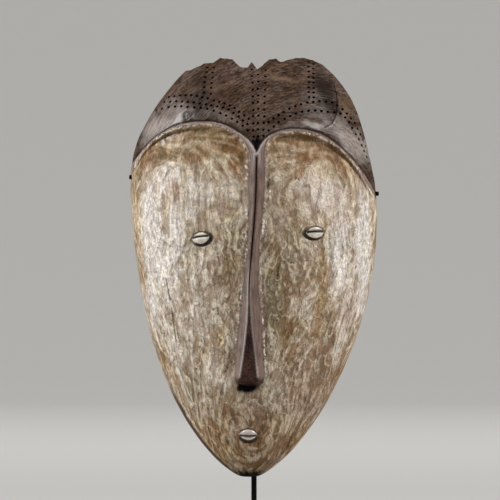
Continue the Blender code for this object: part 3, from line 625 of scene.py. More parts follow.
def clayFields():
    # thick and thin clay, the facets under it, and how warm its colour is, over the whole grid
    heading = brushHeading()
    broad, medium, thin = (drawnOut(cloud((width * 0.8,) * 2, 210 + k), heading, length)
                           for k, (width, length) in enumerate(clayGrid["strokes"]))
    high = fade(*clayGrid["circled"], gridH)
    blots = cloud((0.0052, 0.0068), 221) + 0.7 * cloud((0.0026, 0.0034), 222)
    # high up, the clay lies in loops, one inside another
    loops = cloud((0.036, 0.044), 223) + 0.12 * cloud((0.009, 0.012), 224)
    loops = np.cos(loops * 2 * math.pi * 0.95)
    low = 0.50 * broad + 0.50 * medium + 0.50 * blots
    above = 0.75 * broad + 0.45 * medium + 0.30 * blots + 0.55 * loops
    amount = low * (1 - high) + above * high + 0.45 * thin
    amount = amount / amount.std()
    sway = clayGrid["facetSway"]
    u = gridAcross / unrolled(heldH) * 0.115 + sway * cloud((0.010, 0.016), 231)
    v = gridH + 2.2 * sway * cloud((0.012, 0.012), 232)
    marks, own = toolCells(u.ravel(), v.ravel(), *clayGrid["facet"], 5)
    small, _ = toolCells(1.9 * u.ravel(), 1.7 * v.ravel(), *clayGrid["facet"], 6)
    marks, own, small = (each.reshape(gridH.shape) for each in (marks, own, small))
    return {"amount": amount, "marks": marks, "own": own, "small": small, "thin": thin,
            "warm": drawnOut(cloud((0.013, 0.016), 241), heading, 0.016),
            "kept": cloud((0.016, 0.024), 242)}


def fromGrid(field, across, h):
    c = np.clip((across + clayGrid["reach"]) / clayGrid["cell"], 0, field.shape[1] - 1.001)
    r = np.clip((h - clayGrid["low"]) / clayGrid["cell"], 0, field.shape[0] - 1.001)
    column, row = c.astype(int), r.astype(int)
    c, r = c - column, r - row
    return ((field[row, column] * (1 - c) + field[row, column + 1] * c) * (1 - r)
            + (field[row + 1, column] * (1 - c) + field[row + 1, column + 1] * c) * r)


def fineLevel(zone, lay):
    # tool marks, crust and wear, as height over the main carving
    flat = lay * (1, 1, 0)
    within = 1 - np.abs(zone["sideways"]) ** 10
    fromEdge = zone["fromEdge"]
    across = np.arcsin(zone["sideways"]) * unrolled(zone["h"])
    for name, field in clayFields().items():
        zone[name] = fromGrid(field, across, zone["h"])
    swell = surface["swell"] * waves(flat, (0.030, 0.055, 1), 31)
    scoop = surface["chisel"] * (0.7 * fade(0, 1, zone["marks"]) + 0.3 * fade(0, 1, zone["small"]))
    crust = surface["crust"] * (fade(-0.9, 1.1, zone["amount"]) + 0.25 * zone["thin"])
    face = swell - scoop + crust
    zone["lump"] = roughness(flat, (0.0030, 0.0042, 1), 2, 57, 0.7)
    atBrow = fade(0.345, 0.356, zone["h"])
    face = face + surface["lump"] * zone["lump"] * fade(0.0050, 0.0014, fromEdge) * atBrow
    face = face * fade(0.0, 0.0014, fromEdge)
    zone["heap"], zone["seamPit"] = besideNose("heap", zone, 151), besideNose("pit", zone, 161)
    zone["bare"] = besideNose("bare", zone, 171)
    face = face + surface["heap"] * zone["heap"] - surface["seamPit"] * zone["seamPit"]
    planes, zone["plane"] = toolCells(flat[:, 0], flat[:, 1], *surface["adze"][:2], 8)
    strokes = waves(flat, (0.0020, 0.015, 1), 41) + 0.7 * waves(flat, (0.0011, 0.008, 1), 42)
    cap = surface["swell"] * waves(flat, (0.020, 0.040, 1), 43) - surface["adze"][2] * planes
    cap = (cap + surface["stroke"] * strokes) * fade(0.0, 0.0030, zone["fromBand"])
    between = 0.00015 * waves(flat, (0.0020, 0.020, 1), 47) * fade(0.0, 0.001, fromEdge)
    level = np.where(zone["inFace"], face, between)
    level = np.where(zone["inCap"], cap, level) * within
    zone["crack"] = np.zeros(len(level))
    for line, half, depth in surface["cracks"]:
        near = distanceTo(unsteady(smoothLine(line, 0.0008), 71), zone["x"], zone["h"])
        split = fade(half, 0.3 * half, near)
        level = level - depth * split
        zone["crack"] = np.maximum(zone["crack"], split)
    for (atX, atH), radius, height in surface["blisters"]:
        ring = np.hypot(zone["x"] - atX, (zone["h"] - atH) * 0.8) / radius
        level = level + height * (fade(1.5, 1.0, ring) - 2.2 * fade(0.8, 0.4, ring))
        zone["crack"] = np.maximum(zone["crack"], 0.6 * fade(0.7, 0.3, ring))
    return level


def forward(level, out):
    # carving moves the skin front to back, so that its lines keep their places in front view
    return -level / np.maximum(-out[..., 1], 0.4)


def socketFrame(name):
    # middle of a socket's floor, and its axes: along the shell, across it, outward
    x, h = (np.array([value]) for value in cowries[name]["at"])
    place, out = formAt(*sheetFromFront(x, h))
    place[:, 1] += forward(carvedLevel(zonesAt(x, h)), out)
    out = Vector(out[0])
    tilt = math.radians(cowries[name]["tilt"])
    along = Vector((math.cos(tilt), 0, math.sin(tilt)))
    along = (along - out * along.dot(out)).normalized()
    return Vector(place[0]) - out * socket["depth"], along, out.cross(along), out


def seatReach(name, u, v):
    # how far the shell's seat reaches on that side of its middle
    left, right, below, above = cowries[name]["gaps"]
    return (cowries[name]["length"] / 2 + np.where(u < 0, left, right),
            cowries[name]["width"] / 2 + np.where(v < 0, below, above))


def socketRing(places, name):
    # 1 at the edge of the shell's seat, less inside it; the depth of the seat's floor there; and 1
    # where the seat stands open beside the shell, 0 where it is tight
    floor, along, across, out = socketFrame(name)
    onFloor = places - np.array(floor)
    onFloor[..., 1] = -(onFloor[..., 0] * out.x + onFloor[..., 2] * out.z) / out.y
    u, v = onFloor @ np.array(along), onFloor @ np.array(across)
    halfLength, halfHeight = seatReach(name, u, v)
    ring = np.hypot(u / halfLength, v / halfHeight)
    gap = ring - np.hypot(u / (cowries[name]["length"] / 2), v / (cowries[name]["width"] / 2))
    return ring, floor.y + onFloor[..., 1], fade(0.10, 0.25, -gap / np.maximum(ring, 0.5))


def inWorld(places):
    return np.asarray(places) + (0.0, rimY, chinZ)


# Skin of the mask: an even net of triangles with the carved lines in it

def skinOutline():
    step = form["skinStep"]
    top = evenly(brokenTop["edge"], step)
    jag = np.column_stack([top[:, 0], top[:, 1] * 0, np.zeros(len(top))])
    top[1:-1, 1] += (brokenTop["splinter"] * (waves(jag, 0.0045, 51) + 0.8 * waves(jag, 0.0017, 52)))[1:-1]
    sides = []
    for corner, side in ((top[-1], 1), (top[0], -1)):
        h = corner[1] * np.linspace(0, 1, 900) ** 2
        sides.append(evenly(np.column_stack([middleAt(h) + side * halfWidth(h), h]), step))
    return np.vstack([sides[0][:-1], top[::-1][:-1], sides[1][::-1][:-1]])


def skinNet():
    points, links = [], []
    step = form["skinStep"]

    def addLine(line, loop=False):
        first = len(points)
        points.extend(np.column_stack(sheetFromFront(*np.asarray(line, float).T)))
        links.extend((k, k + 1) for k in range(first, len(points) - 1))
        if loop:
            links.append((len(points) - 1, first))

    def inner(line, margin=0.003):
        side = np.abs((line[:, 0] - middleAt(line[:, 1])) / np.maximum(halfWidth(line[:, 1]), 1e-6))
        return line[side < 1 - margin / 0.13]

    addLine(skinOutline(), loop=True)
    outline = np.array(points)
    for line in (edge, band):
        addLine(inner(line))
    addLine(ridge)
    centre = (noseSide(2) + noseSide(3)) / 2
    addLine(centre[centre[:, 1] > nose["grooveEnds"][0]])
    for beside in (-0.0005, 0.0005):
        addLine(centre[centre[:, 1] > nose["grooveEnds"][1]] + (beside, 0))
    for name in cowries:
        floor, along, across, _ = socketFrame(name)
        turn = np.arange(socket["sides"]) * 2 * math.pi / socket["sides"]
        reach = seatReach(name, np.cos(turn), np.sin(turn))
        for ring in (socket["floorRing"] - 0.02, socket["rimRing"] + 0.02):
            u, v = reach[0] * ring * np.cos(turn), reach[1] * ring * np.sin(turn)
            seatX, seatH = floor.x + u * along.x + v * across.x, floor.z + u * along.z + v * across.z
            addLine(np.column_stack([seatX, seatH]), True)

    pits = np.column_stack(sheetFromFront(*dotPlaces().T))
    clear = distanceTo(outline, *pits.T) > 2 * dotWork["radius"]
    pits = pits[clear & isInside(*pits.T, outline)]
    # wider where the side turns away, so that they look round from the front
    pits = np.column_stack([pits, 1 / np.maximum(np.cos(frontFromSheet(*pits.T)[0]), 0.5)])
    corners = np.arange(8) * math.pi / 4
    for p, q, stretch in pits:
        points.append((p, q))
        for ring in (1.05, 0.72):
            first, reach = len(points), dotWork["radius"] * ring
            points.extend(zip(p + reach * stretch * np.cos(corners), q + reach * np.sin(corners)))
            links.extend((first + k, first + (k + 1) % 8) for k in range(8))

    taken = treeOf(points)
    low, high = outline.min(axis=0), outline.max(axis=0)
    rows = []
    for row, q in enumerate(np.arange(low[1], high[1], step * math.sqrt(3) / 2)):
        p = np.arange(low[0] + row % 2 * step / 2, high[0], step)
        rows.append(np.column_stack([p, np.full_like(p, q)]))
    spread = np.vstack(rows)
    spread = spread[isInside(*spread.T, outline)]
    free = [taken.find((p, q, 0.0))[2] > 0.6 * step for p, q in spread]
    points.extend(spread[np.array(free)])
    flat, _, triangles, *_ = delaunay_2d_cdt([Vector(point) for point in points], links, [], 0, 1e-7, False)
    net = np.array([tuple(point) for point in flat])
    triangles = np.array(triangles)
    triangles = triangles[isInside(*net[triangles].mean(axis=1).T, outline)]
    a, b, c = (net[triangles[:, k]] for k in range(3))
    area = np.cross(b - a, c - a)
    triangles[area < 0] = triangles[area < 0][:, ::-1]
    return net, triangles[np.abs(area) > 1e-13], pits


def pitDepth(net, pits):
    # 0 to 1 in each burnt dot
    tree = treeOf(pits)
    nearest = pits[[tree.find((p, q, 0.0))[1] for p, q in net]]
    near = np.hypot((net[:, 0] - nearest[:, 0]) / nearest[:, 2], net[:, 1] - nearest[:, 1])
    return fade(1.02, 0.70, near / dotWork["radius"])


def skinPlaces(net, pits):
    turn, h = frontFromSheet(*net.T)
    x = middleAt(h) + halfWidth(h) * np.sin(turn)
    zone = zonesAt(x, h)
    lay = layOf(zone)
    main = carvedLevel(zone)
    zone["pit"] = pitDepth(net, pits)
    places, out = formAt(*net.T)
    level = main + fineLevel(zone, lay) * (1 - zone["pit"]) - dotWork["depth"] * zone["pit"]
    places[:, 1] += forward(level, out)
    # the nose's underside is cut back, so that its tip overhangs
    under = (h < nose["end"] + 0.0025) * np.clip(1.25 - ((x - nose["middleX"]) / 0.0155) ** 2, 0, 1)
    near = np.clip(1 - zone["fromEdge"] / nose["undercutRun"], 0, 1)
    places[:, 2] += nose["undercut"] * near * under * fade(0.010, 0.002, main)
    zone["socket"] = np.zeros(len(x))
    for name in cowries:
        ring, floorY, clear = socketRing(places, name)
        crumbs = 0.00025 * waves(places, 0.0022, 61) * fade(0.9, 1.1, ring)
        share = np.clip((socket["rimRing"] - ring) / (socket["rimRing"] - socket["floorRing"]), 0, 1)
        places[:, 1] += (floorY - places[:, 1]) * share + crumbs * fade(1.5, 1.2, ring)
        zone["socket"] = np.maximum(zone["socket"], fade(1.13, 0.98, ring) * clear)
    sides = form["wander"] * waves(np.column_stack([h, np.sign(x), 0 * h]), (0.016, 1, 1), 63)
    places[:, 0] += sides * np.abs(zone["sideways"]) ** 3 * np.sign(x)
    # the chin is cut off flat
    low = np.clip(1 - places[:, 2] / (2 * form["chinFlat"]), 0, 1)
    places[:, 2] += form["chinFlat"] * low**2
    zone["lay"] = lay
    zone["under"] = under * near
    return inWorld(places), zone


def borderLoop(triangles):
    # for each point of the open border, the one after it
    ahead = {}
    pairs = {(a, b) for t in triangles.tolist() for a, b in ((t[0], t[1]), (t[1], t[2]), (t[2], t[0]))}
    for a, b in pairs:
        if (b, a) not in pairs:
            ahead[a] = b
    return ahead


def backOf(point):
    # where the broken top that starts at this point of the skin meets the flat back
    side = min(abs(point[0]) / form["halfWidth"], 0.999)
    arch = form["widest"] + form["archRise"] * math.sqrt(1 - side**2) - 0.001
    h = point[2] - chinZ
    level = brokenTop["backEvenH"] + (h - brokenTop["backEvenH"]) * brokenTop["backUnevenShare"]
    level -= brokenTop["backDrop"] * float(fade(0.0, 0.03, rimY - point[1]))
    return np.array((point[0], rimY, chinZ + min(level, arch, h)))


def hollowNet():
    # grid of the hollow's places, its first and last rows drawn into a point
    rows, columns = hollow["rows"], hollow["columns"]
    rise = math.pi * (np.arange(rows + 1) / rows - 0.5)
    up, down = np.maximum(np.sin(rise), 0), np.maximum(-np.sin(rise), 0)
    h = form["widest"] + hollow["rise"] * up - hollow["drop"] * down
    atTop = (1 - up**2) ** hollow["topPower"]
    width = (form["halfWidth"] - hollow["rimWidth"]) * atTop * (1 - down**2) ** form["jawPower"]
    front = (form["depth"] - hollow["wall"]) * atTop * (1 - down**2) ** form["jawDepthPower"]
    width[[0, -1]] = front[[0, -1]] = 0
    turn = math.pi * (np.arange(columns + 1) / columns - 0.5)
    x = middleAt(h)[:, None] + width[:, None] * np.sin(turn)
    y = -front[:, None] * np.cos(turn)
    z = np.repeat(h[:, None], columns + 1, axis=1)
    around = turn[None] * np.maximum(width[:, None], 0.02)
    flat = np.column_stack([around.ravel(), z.ravel(), 0 * z.ravel()])
    marks, own = toolCells(flat[:, 0], flat[:, 1], hollow["gougeWidth"], hollow["gougeLength"], 12)
    cut = hollow["gougeDepth"] * fade(0, 1, marks) + 0.0004 * roughness(flat, (0.004, 0.012, 1), 2, 71)
    inside = fade(0, 0.010, front[:, None] * np.cos(turn)).ravel()
    y = y.ravel() - cut * inside
    return np.column_stack([x.ravel(), y, z.ravel()]).reshape(rows + 1, columns + 1, 3), marks, own


def buildMask():
    net, triangles, pits = skinNet()
    places, zone = skinPlaces(net, pits)
    print("skin:", len(places), "points,", len(triangles), "triangles,", len(pits), "dots")
    verts = [places]
    count = len(places)
    faces = triangles.tolist()
    kinds = [0] * len(faces)

    ahead = borderLoop(triangles)
    start = min(ahead, key=lambda k: places[k][2])
    loop = [start]
    while ahead[loop[-1]] != start:
        loop.append(ahead[loop[-1]])

    # broken top, from the skin back to the flat rim
    columns = {}
    places[loop, 1] = np.where(places[loop, 1] > rimY - 0.001, rimY, places[loop, 1])
    rows = brokenTop["rows"]
    for k in loop:
        if places[k][1] == rimY:
            columns[k] = [k]
            continue
        share = np.linspace(0, 1, rows + 1)[1:, None]
        column = places[k] + (backOf(places[k]) - places[k]) * share
        middle = np.sin(share[:, 0] * math.pi)
        bent = np.column_stack([column[:, 0], column[:, 1], 0 * column[:, 0]])
        rot = 0.6 * waves(bent, (0.009, 0.014, 1), 81) + waves(bent, (0.0032, 0.0055, 1), 82)
        column[:, 2] += brokenTop["rot"] * (rot - 0.5) * middle
        columns[k] = [k] + list(range(count, count + rows))
        verts.append(column)
        count += rows
    for k, after in zip(loop, loop[1:] + loop[:1]):
        here, there = columns[k], columns[after]
        if len(here) == 1 and len(there) == 1:
            continue
        for row in range(rows):
            a, b = here[min(row, len(here) - 1)], here[min(row + 1, len(here) - 1)]
            c, d = there[min(row + 1, len(there) - 1)], there[min(row, len(there) - 1)]
            faces.append(list(dict.fromkeys((d, a, b, c))))
            kinds.append(0)
    brokenCount = count

    # hollow, then the flat rim between it and the outline
    grid, marks, own = hollowNet()
    rowCount, columnCount = grid.shape[:2]
    index = np.zeros((rowCount, columnCount), int)
    low, high = count, count + 1
    verts.append(inWorld(grid[[0, -1], 0]))
    index[0], index[-1] = low, high
    index[1:-1] = np.arange((rowCount - 2) * columnCount).reshape(-1, columnCount) + count + 2
    verts.append(inWorld(grid[1:-1].reshape(-1, 3)))
    count += 2 + (rowCount - 2) * columnCount
    for row in range(rowCount - 1):
        for column in range(columnCount - 1):
            corners = (*index[row, column:column + 2], *index[row + 1, column:column + 2][::-1])
            faces.append(list(dict.fromkeys(int(corner) for corner in corners)))
            kinds.append(1)

    allVerts = np.vstack(verts)
    outer = list(dict.fromkeys(columns[k][-1] for k in loop))
    inner = [int(k) for k in [*index[:, 0], *index[::-1, -1][1:-1]]]
    outerFlat = allVerts[outer][:, [0, 2]]
    innerFlat = allVerts[inner][:, [0, 2]]
    step = hollow["rimStep"]
    levels = np.arange(chinZ, chinZ + 0.47, step * 0.866)
    spread = [(x + row % 2 * step / 2, z) for row, z in enumerate(levels) for x in np.arange(-0.14, 0.14, step)]
    spread = np.array(spread)
    keep = isInside(*spread.T, outerFlat) & ~isInside(*spread.T, innerFlat)
    near = np.minimum(distanceTo(outerFlat, *spread.T), distanceTo(innerFlat, *spread.T))
    spread = spread[keep & (near > 0.6 * step)]
    known = outer + inner
    points = [Vector(point) for point in np.vstack([outerFlat, innerFlat, spread])]
    links = [(k, (k + 1) % len(outer)) for k in range(len(outer))]
    links += [(len(outer) + k, len(outer) + (k + 1) % len(inner)) for k in range(len(inner))]
    flat, _, rimFaces, fromInput, *_ = delaunay_2d_cdt(points, links, [], 0, 1e-8, True)
    flat = np.array([tuple(point) for point in flat])
    rimFaces = np.array(rimFaces)
    middle = flat[rimFaces].mean(axis=1)
    rimFaces = rimFaces[isInside(*middle.T, outerFlat) & ~isInside(*middle.T, innerFlat)]
    names, added = {}, []
    for k, source in enumerate(fromInput):
        if source and source[0] < len(known):
            names[k] = known[source[0]]
        else:
            names[k] = count + len(added)
            added.append((flat[k][0], rimY, flat[k][1]))
    added = np.array(added)
    flatAdded = added * (1, 0, 1)
    planed = 0.0004 * (1 + waves(flatAdded, (0.008, 1, 0.020), 91))
    added[:, 1] -= planed + 0.0002 * waves(flatAdded, (0.003, 1, 0.006), 92)
    verts.append(added)
    faces += [[names[int(k)] for k in face] for face in rimFaces]
    kinds += [1] * len(rimFaces)
    allVerts = np.vstack(verts)

    mesh = bpy.data.meshes.new("lega_mask")
    mesh.from_pydata(allVerts.tolist(), [], faces)
    mesh.polygons.foreach_set("material_index", kinds)
    bm = bmesh.new()
    bm.from_mesh(mesh)
    bmesh.ops.recalc_face_normals(bm, faces=bm.faces)
    openEdges = sum(1 for item in bm.edges if not item.is_manifold)
    bm.to_mesh(mesh)
    bm.free()
    mesh.shade_smooth()
    mesh.set_sharp_from_angle(angle=math.radians(48))
    made = addObject("lega_mask", mesh)
    print("mask:", len(mesh.polygons), "faces,", openEdges, "open edges")
    cuts = slice(brokenCount + 2, brokenCount + 2 + (rowCount - 2) * columnCount)
    paintZones(mesh, zone, len(places), brokenCount)
    for name, values in (("net", 1 - marks), ("tone", own)):
        data = mesh.attributes[name].data
        whole = np.zeros(len(data))
        data.foreach_get("value", whole)
        whole[cuts] = values.reshape(rowCount, columnCount)[1:-1].ravel()
        data.foreach_set("value", whole)
    return made


# Where the wood and the clay have which colour. Each patch: x, h, half width, half height in
# millimetres, tilt in degrees, strength.
patches = {
    "ochre": (
        (74, 208, 5, 50, -6, 0.8), (44, 172, 22, 8, 0, 0.5), (-40, 156, 10, 12, 0, 0.4),
        (-96, 128, 6, 40, 20, 0.6), (98, 118, 6, 46, -24, 0.5), (-10, 30, 30, 16, 0, 0.6),
        (20, 62, 18, 16, 0, 0.5), (-128, 268, 4, 70, 3, 0.6), (-30, 70, 14, 14, 0, 0.4),
        (-120, 190, 5, 60, 10, 0.6), (134, 240, 4, 70, -3, 0.5), (-22, 350, 6, 14, 0, 0.25),
        (76, 352, 26, 10, -25, 0.4),
    ),
    "white": (
        (-86, 274, 13, 44, 0, 0.8), (-70, 258, 9, 12, 0, 0.4),
        (-112, 250, 13, 100, 2, 0.9), (-92, 231, 14, 60, 0, 0.7), (-59, 319, 22, 20, 20, 0.55),
        (-30, 322, 8, 16, -10, 0.5), (-98, 330, 16, 22, 0, 0.6), (-88, 143, 9, 50, 15, 0.5),
        (-66, 296, 12, 10, 0, 0.5), (-46, 120, 10, 22, 0, 0.4), (-30, 105, 9, 14, 0, 0.4),
        (-24, 160, 10, 30, 0, 0.25), (28, 110, 12, 26, 0, 0.3), (-74, 160, 16, 40, 0, 0.3),
        (119, 253, 10, 80, -2, 0.9), (94, 250, 14, 66, 0, 0.7), (80, 312, 24, 22, -20, 0.6),
        (50, 320, 10, 14, 0, 0.5), (96, 165, 9, 45, -15, 0.5), (60, 300, 8, 10, 30, 0.4),
        (-52, 205, 24, 56, 0, 0.56), (52, 205, 18, 50, 0, 0.26), (60, 120, 16, 40, -15, 0.22),
    ),
    "brown": (
        (-43, 366, 38, 14, -5, 1.0), (-95, 362, 20, 14, 30, 1.0), (-20, 352, 10, 22, 0, 0.9),
        (-64, 356, 24, 10, 0, 0.9), (78, 358, 22, 12, -25, 0.9), (56, 358, 18, 12, 0, 0.8),
        (30, 360, 12, 14, 0, 0.7), (-4, 60, 38, 30, 0, 0.8), (34, 38, 20, 14, 20, 0.7),
        (-6, 100, 20, 12, 0, 0.5), (9, 16, 24, 8, 0, 0.9), (36, 170, 13, 70, 0, 0.7),
        (84, 165, 18, 40, -10, 0.5),
        (-46, 222, 22, 30, 0, 0.5), (58, 232, 20, 24, 0, 0.5), (62, 120, 26, 40, -20, 0.5),
        (64, 160, 14, 8, 0, 0.8), (-26, 222, 8, 30, 0, 0.5), (20, 250, 8, 40, 0, 0.5),
    ),
    "olive": (
        (-24, 253, 10, 70, 0, 0.7), (-43, 209, 22, 40, 0, 0.6), (24, 209, 12, 90, 0, 0.9),
        (40, 290, 22, 40, 0, 0.5), (-29, 137, 14, 40, 0, 0.6), (-59, 350, 34, 16, 0, 0.6),
        (-96, 300, 12, 24, 0, 0.3),
    ),
    "pink": (
        (67, 99, 34, 54, -20, 0.8), (100, 187, 20, 30, 0, 0.6), (-54, 66, 14, 25, 20, 0.4),
        (72, 318, 46, 46, 0, 0.5), (-6, 60, 34, 36, 0, 0.4),
        (34, 83, 12, 30, 0, 0.5), (-87, 312, 6, 18, 8, 0.8), (28, 344, 12, 14, 0, 0.6),
        (66, 358, 34, 16, -15, 0.6),
    ),
    "soot": (
        (-57, 418, 9, 24, 0, 1.0), (-72, 398, 9, 9, 0, 1.0), (78, 429, 10, 26, 15, 1.0),
        (89, 407, 6, 16, 0, 1.0), (-2, 407, 5, 30, 0, 0.3), (-50, 402, 14, 8, 0, 0.5),
    ),
    # tan lines in the wood; the patch at x 106, h 414, low on the forehead's right, is a painted highlight
    "tan": ((34, 442, 22, 4, 0, 0.9), (-45, 431, 26, 4, 10, 0.4), (106, 414, 6, 22, -25, 0.7),
            (8, 412, 9, 6, 20, 0.5), (60, 420, 14, 6, 10, 0.4)),
    "sheen": (
        (-103, 384, 16, 24, -45, 1.0), (-86, 402, 18, 14, -30, 0.55), (108, 374, 12, 34, 50, 0.9),
        (51, 388, 34, 7, 12, 0.35), (-32, 398, 22, 6, -20, 0.3), (92, 388, 12, 12, 30, 0.4),
    ),
}


def patchy(rows, x, h, seed):
    places = np.column_stack([x, h, 0 * x])
    x = x + 0.005 * waves(places, (0.012, 0.018, 1), seed) + 0.003 * waves(places, 0.005, seed + 1)
    h = h + 0.007 * waves(places, (0.014, 0.022, 1), seed + 2) + 0.003 * waves(places, 0.005, seed + 3)
    found = np.zeros(len(x))
    for atX, atH, wide, high, tilt, strength in rows:
        across, up = x - atX / 1000, h - atH / 1000
        c, s = math.cos(math.radians(tilt)), math.sin(math.radians(tilt))
        ring = np.hypot((across * c + up * s) / (wide / 1000), (up * c - across * s) / (high / 1000))
        found = np.maximum(found, strength * fade(1.40, 0.40, ring))
    return found


# Along the seams of the nose: clay heaped up, pits beside it, and bare red wood lower down.
# Each row: h of its ends, place and half width of the line beside the seam, strength
seams = {
    "heap": (
        ((0.346, 0.322, 0.0021, 0.0015, 1.0), (0.322, 0.300, 0.0009, 0.0007, 0.6),
         (0.301, 0.266, 0.0020, 0.0017, 1.0), (0.266, 0.235, 0.0012, 0.0010, 0.7),
         (0.235, 0.112, 0.0010, 0.0009, 0.85)),
        ((0.344, 0.318, 0.0010, 0.0009, 1.0), (0.343, 0.306, 0.0056, 0.0010, 0.75),
         (0.318, 0.268, 0.0018, 0.0012, 1.0), (0.300, 0.262, 0.0050, 0.0008, 0.6),
         (0.268, 0.235, 0.0009, 0.0007, 0.6), (0.235, 0.112, 0.0014, 0.0009, 0.80)),
    ),
    "pit": (
        ((0.300, 0.262, 0.0008, 0.0006, 0.9), (0.280, 0.250, 0.0036, 0.0007, 0.6),
         (0.240, 0.112, 0.0002, 0.0006, 0.8)),
        ((0.338, 0.300, 0.0034, 0.0012, 1.0), (0.305, 0.255, 0.0004, 0.0007, 1.0),
         (0.290, 0.250, 0.0038, 0.0008, 0.7), (0.240, 0.112, 0.0003, 0.0008, 0.9)),
    ),
    "bare": (
        ((0.270, 0.112, 0.0022, 0.0022, 0.9),),
        ((0.285, 0.112, 0.0028, 0.0028, 1.0),),
    ),
    # how long each kind runs before it breaks, and from which level of noise it shows
    "runs": {"heap": (0.0046, -0.50), "pit": (0.0044, -0.15), "bare": (0.0110, -0.9)},
    "reach": 0.030,  # no farther from the middle than this
}


def besideNose(kind, zone, seed):
    # 0 to 1 where that kind of line runs, broken up along its length
    run, least = seams["runs"][kind]
    h = zone["h"]
    along = np.column_stack([zone["fromEdge"] * 0.6 + (zone["x"] > 0) * 0.2, h, 0 * h])
    whole = fade(least, least + 0.75, roughness(along, run, 3, seed, 0.85))
    whole = whole * (0.35 + 0.65 * fade(-0.45, 0.15, waves(along, run * 3.7, seed + 7)))
    found = np.zeros(len(h))
    for side, lines in zip((-1, 1), seams[kind]):
        here = zone["inFace"] & ((zone["x"] - nose["middleX"]) * side > 0)
        here = here & (np.abs(zone["x"]) < seams["reach"])
        for high, low, place, half, strength in lines:
            place = place + 0.0004 * waves(along, 0.0050, seed + 2)
            line = fade(1.6, 0.5, np.abs(zone["fromEdge"] - place) / half)
            ends = fade(high + 0.003, high - 0.003, h) * fade(low - 0.003, low + 0.003, h)
            found = np.maximum(found, strength * line * ends * here)
    return found * whole


def crestOf(zone):
    # lighter high lines, partly wear and partly painted highlight, strongest on the nose's left edge: the
    # middle of each brow band, and both edges of the nose's front
    onBand = fade(0.26, 0.05, np.abs(zone["across"] - carving["crestShare"])) * (1 - zone["onNose"])
    h = zone["h"]
    strength = np.where(zone["x"] < ridgeMiddle(h), 0.9, 0.35 + 0.35 * fade(0.140, 0.125, h))
    strength = strength * fade(nose["end"] + 0.008, nose["end"] + 0.013, h)
    alongRidge = fade(0.0013, 0.0003, zone["fromRidge"]) * zone["onNose"] * fade(0.250, 0.215, h) * strength
    nearPocket = fade(0.030, 0.016, np.abs(zone["x"] - carving["pocket"][0])) * fade(0.338, 0.356, h)
    topCrest = fade(0.20, 0.05, np.abs(zone["across"] - 0.74)) * nearPocket
    return np.maximum.reduce([0.22 * onBand, alongRidge, 0.55 * topCrest])


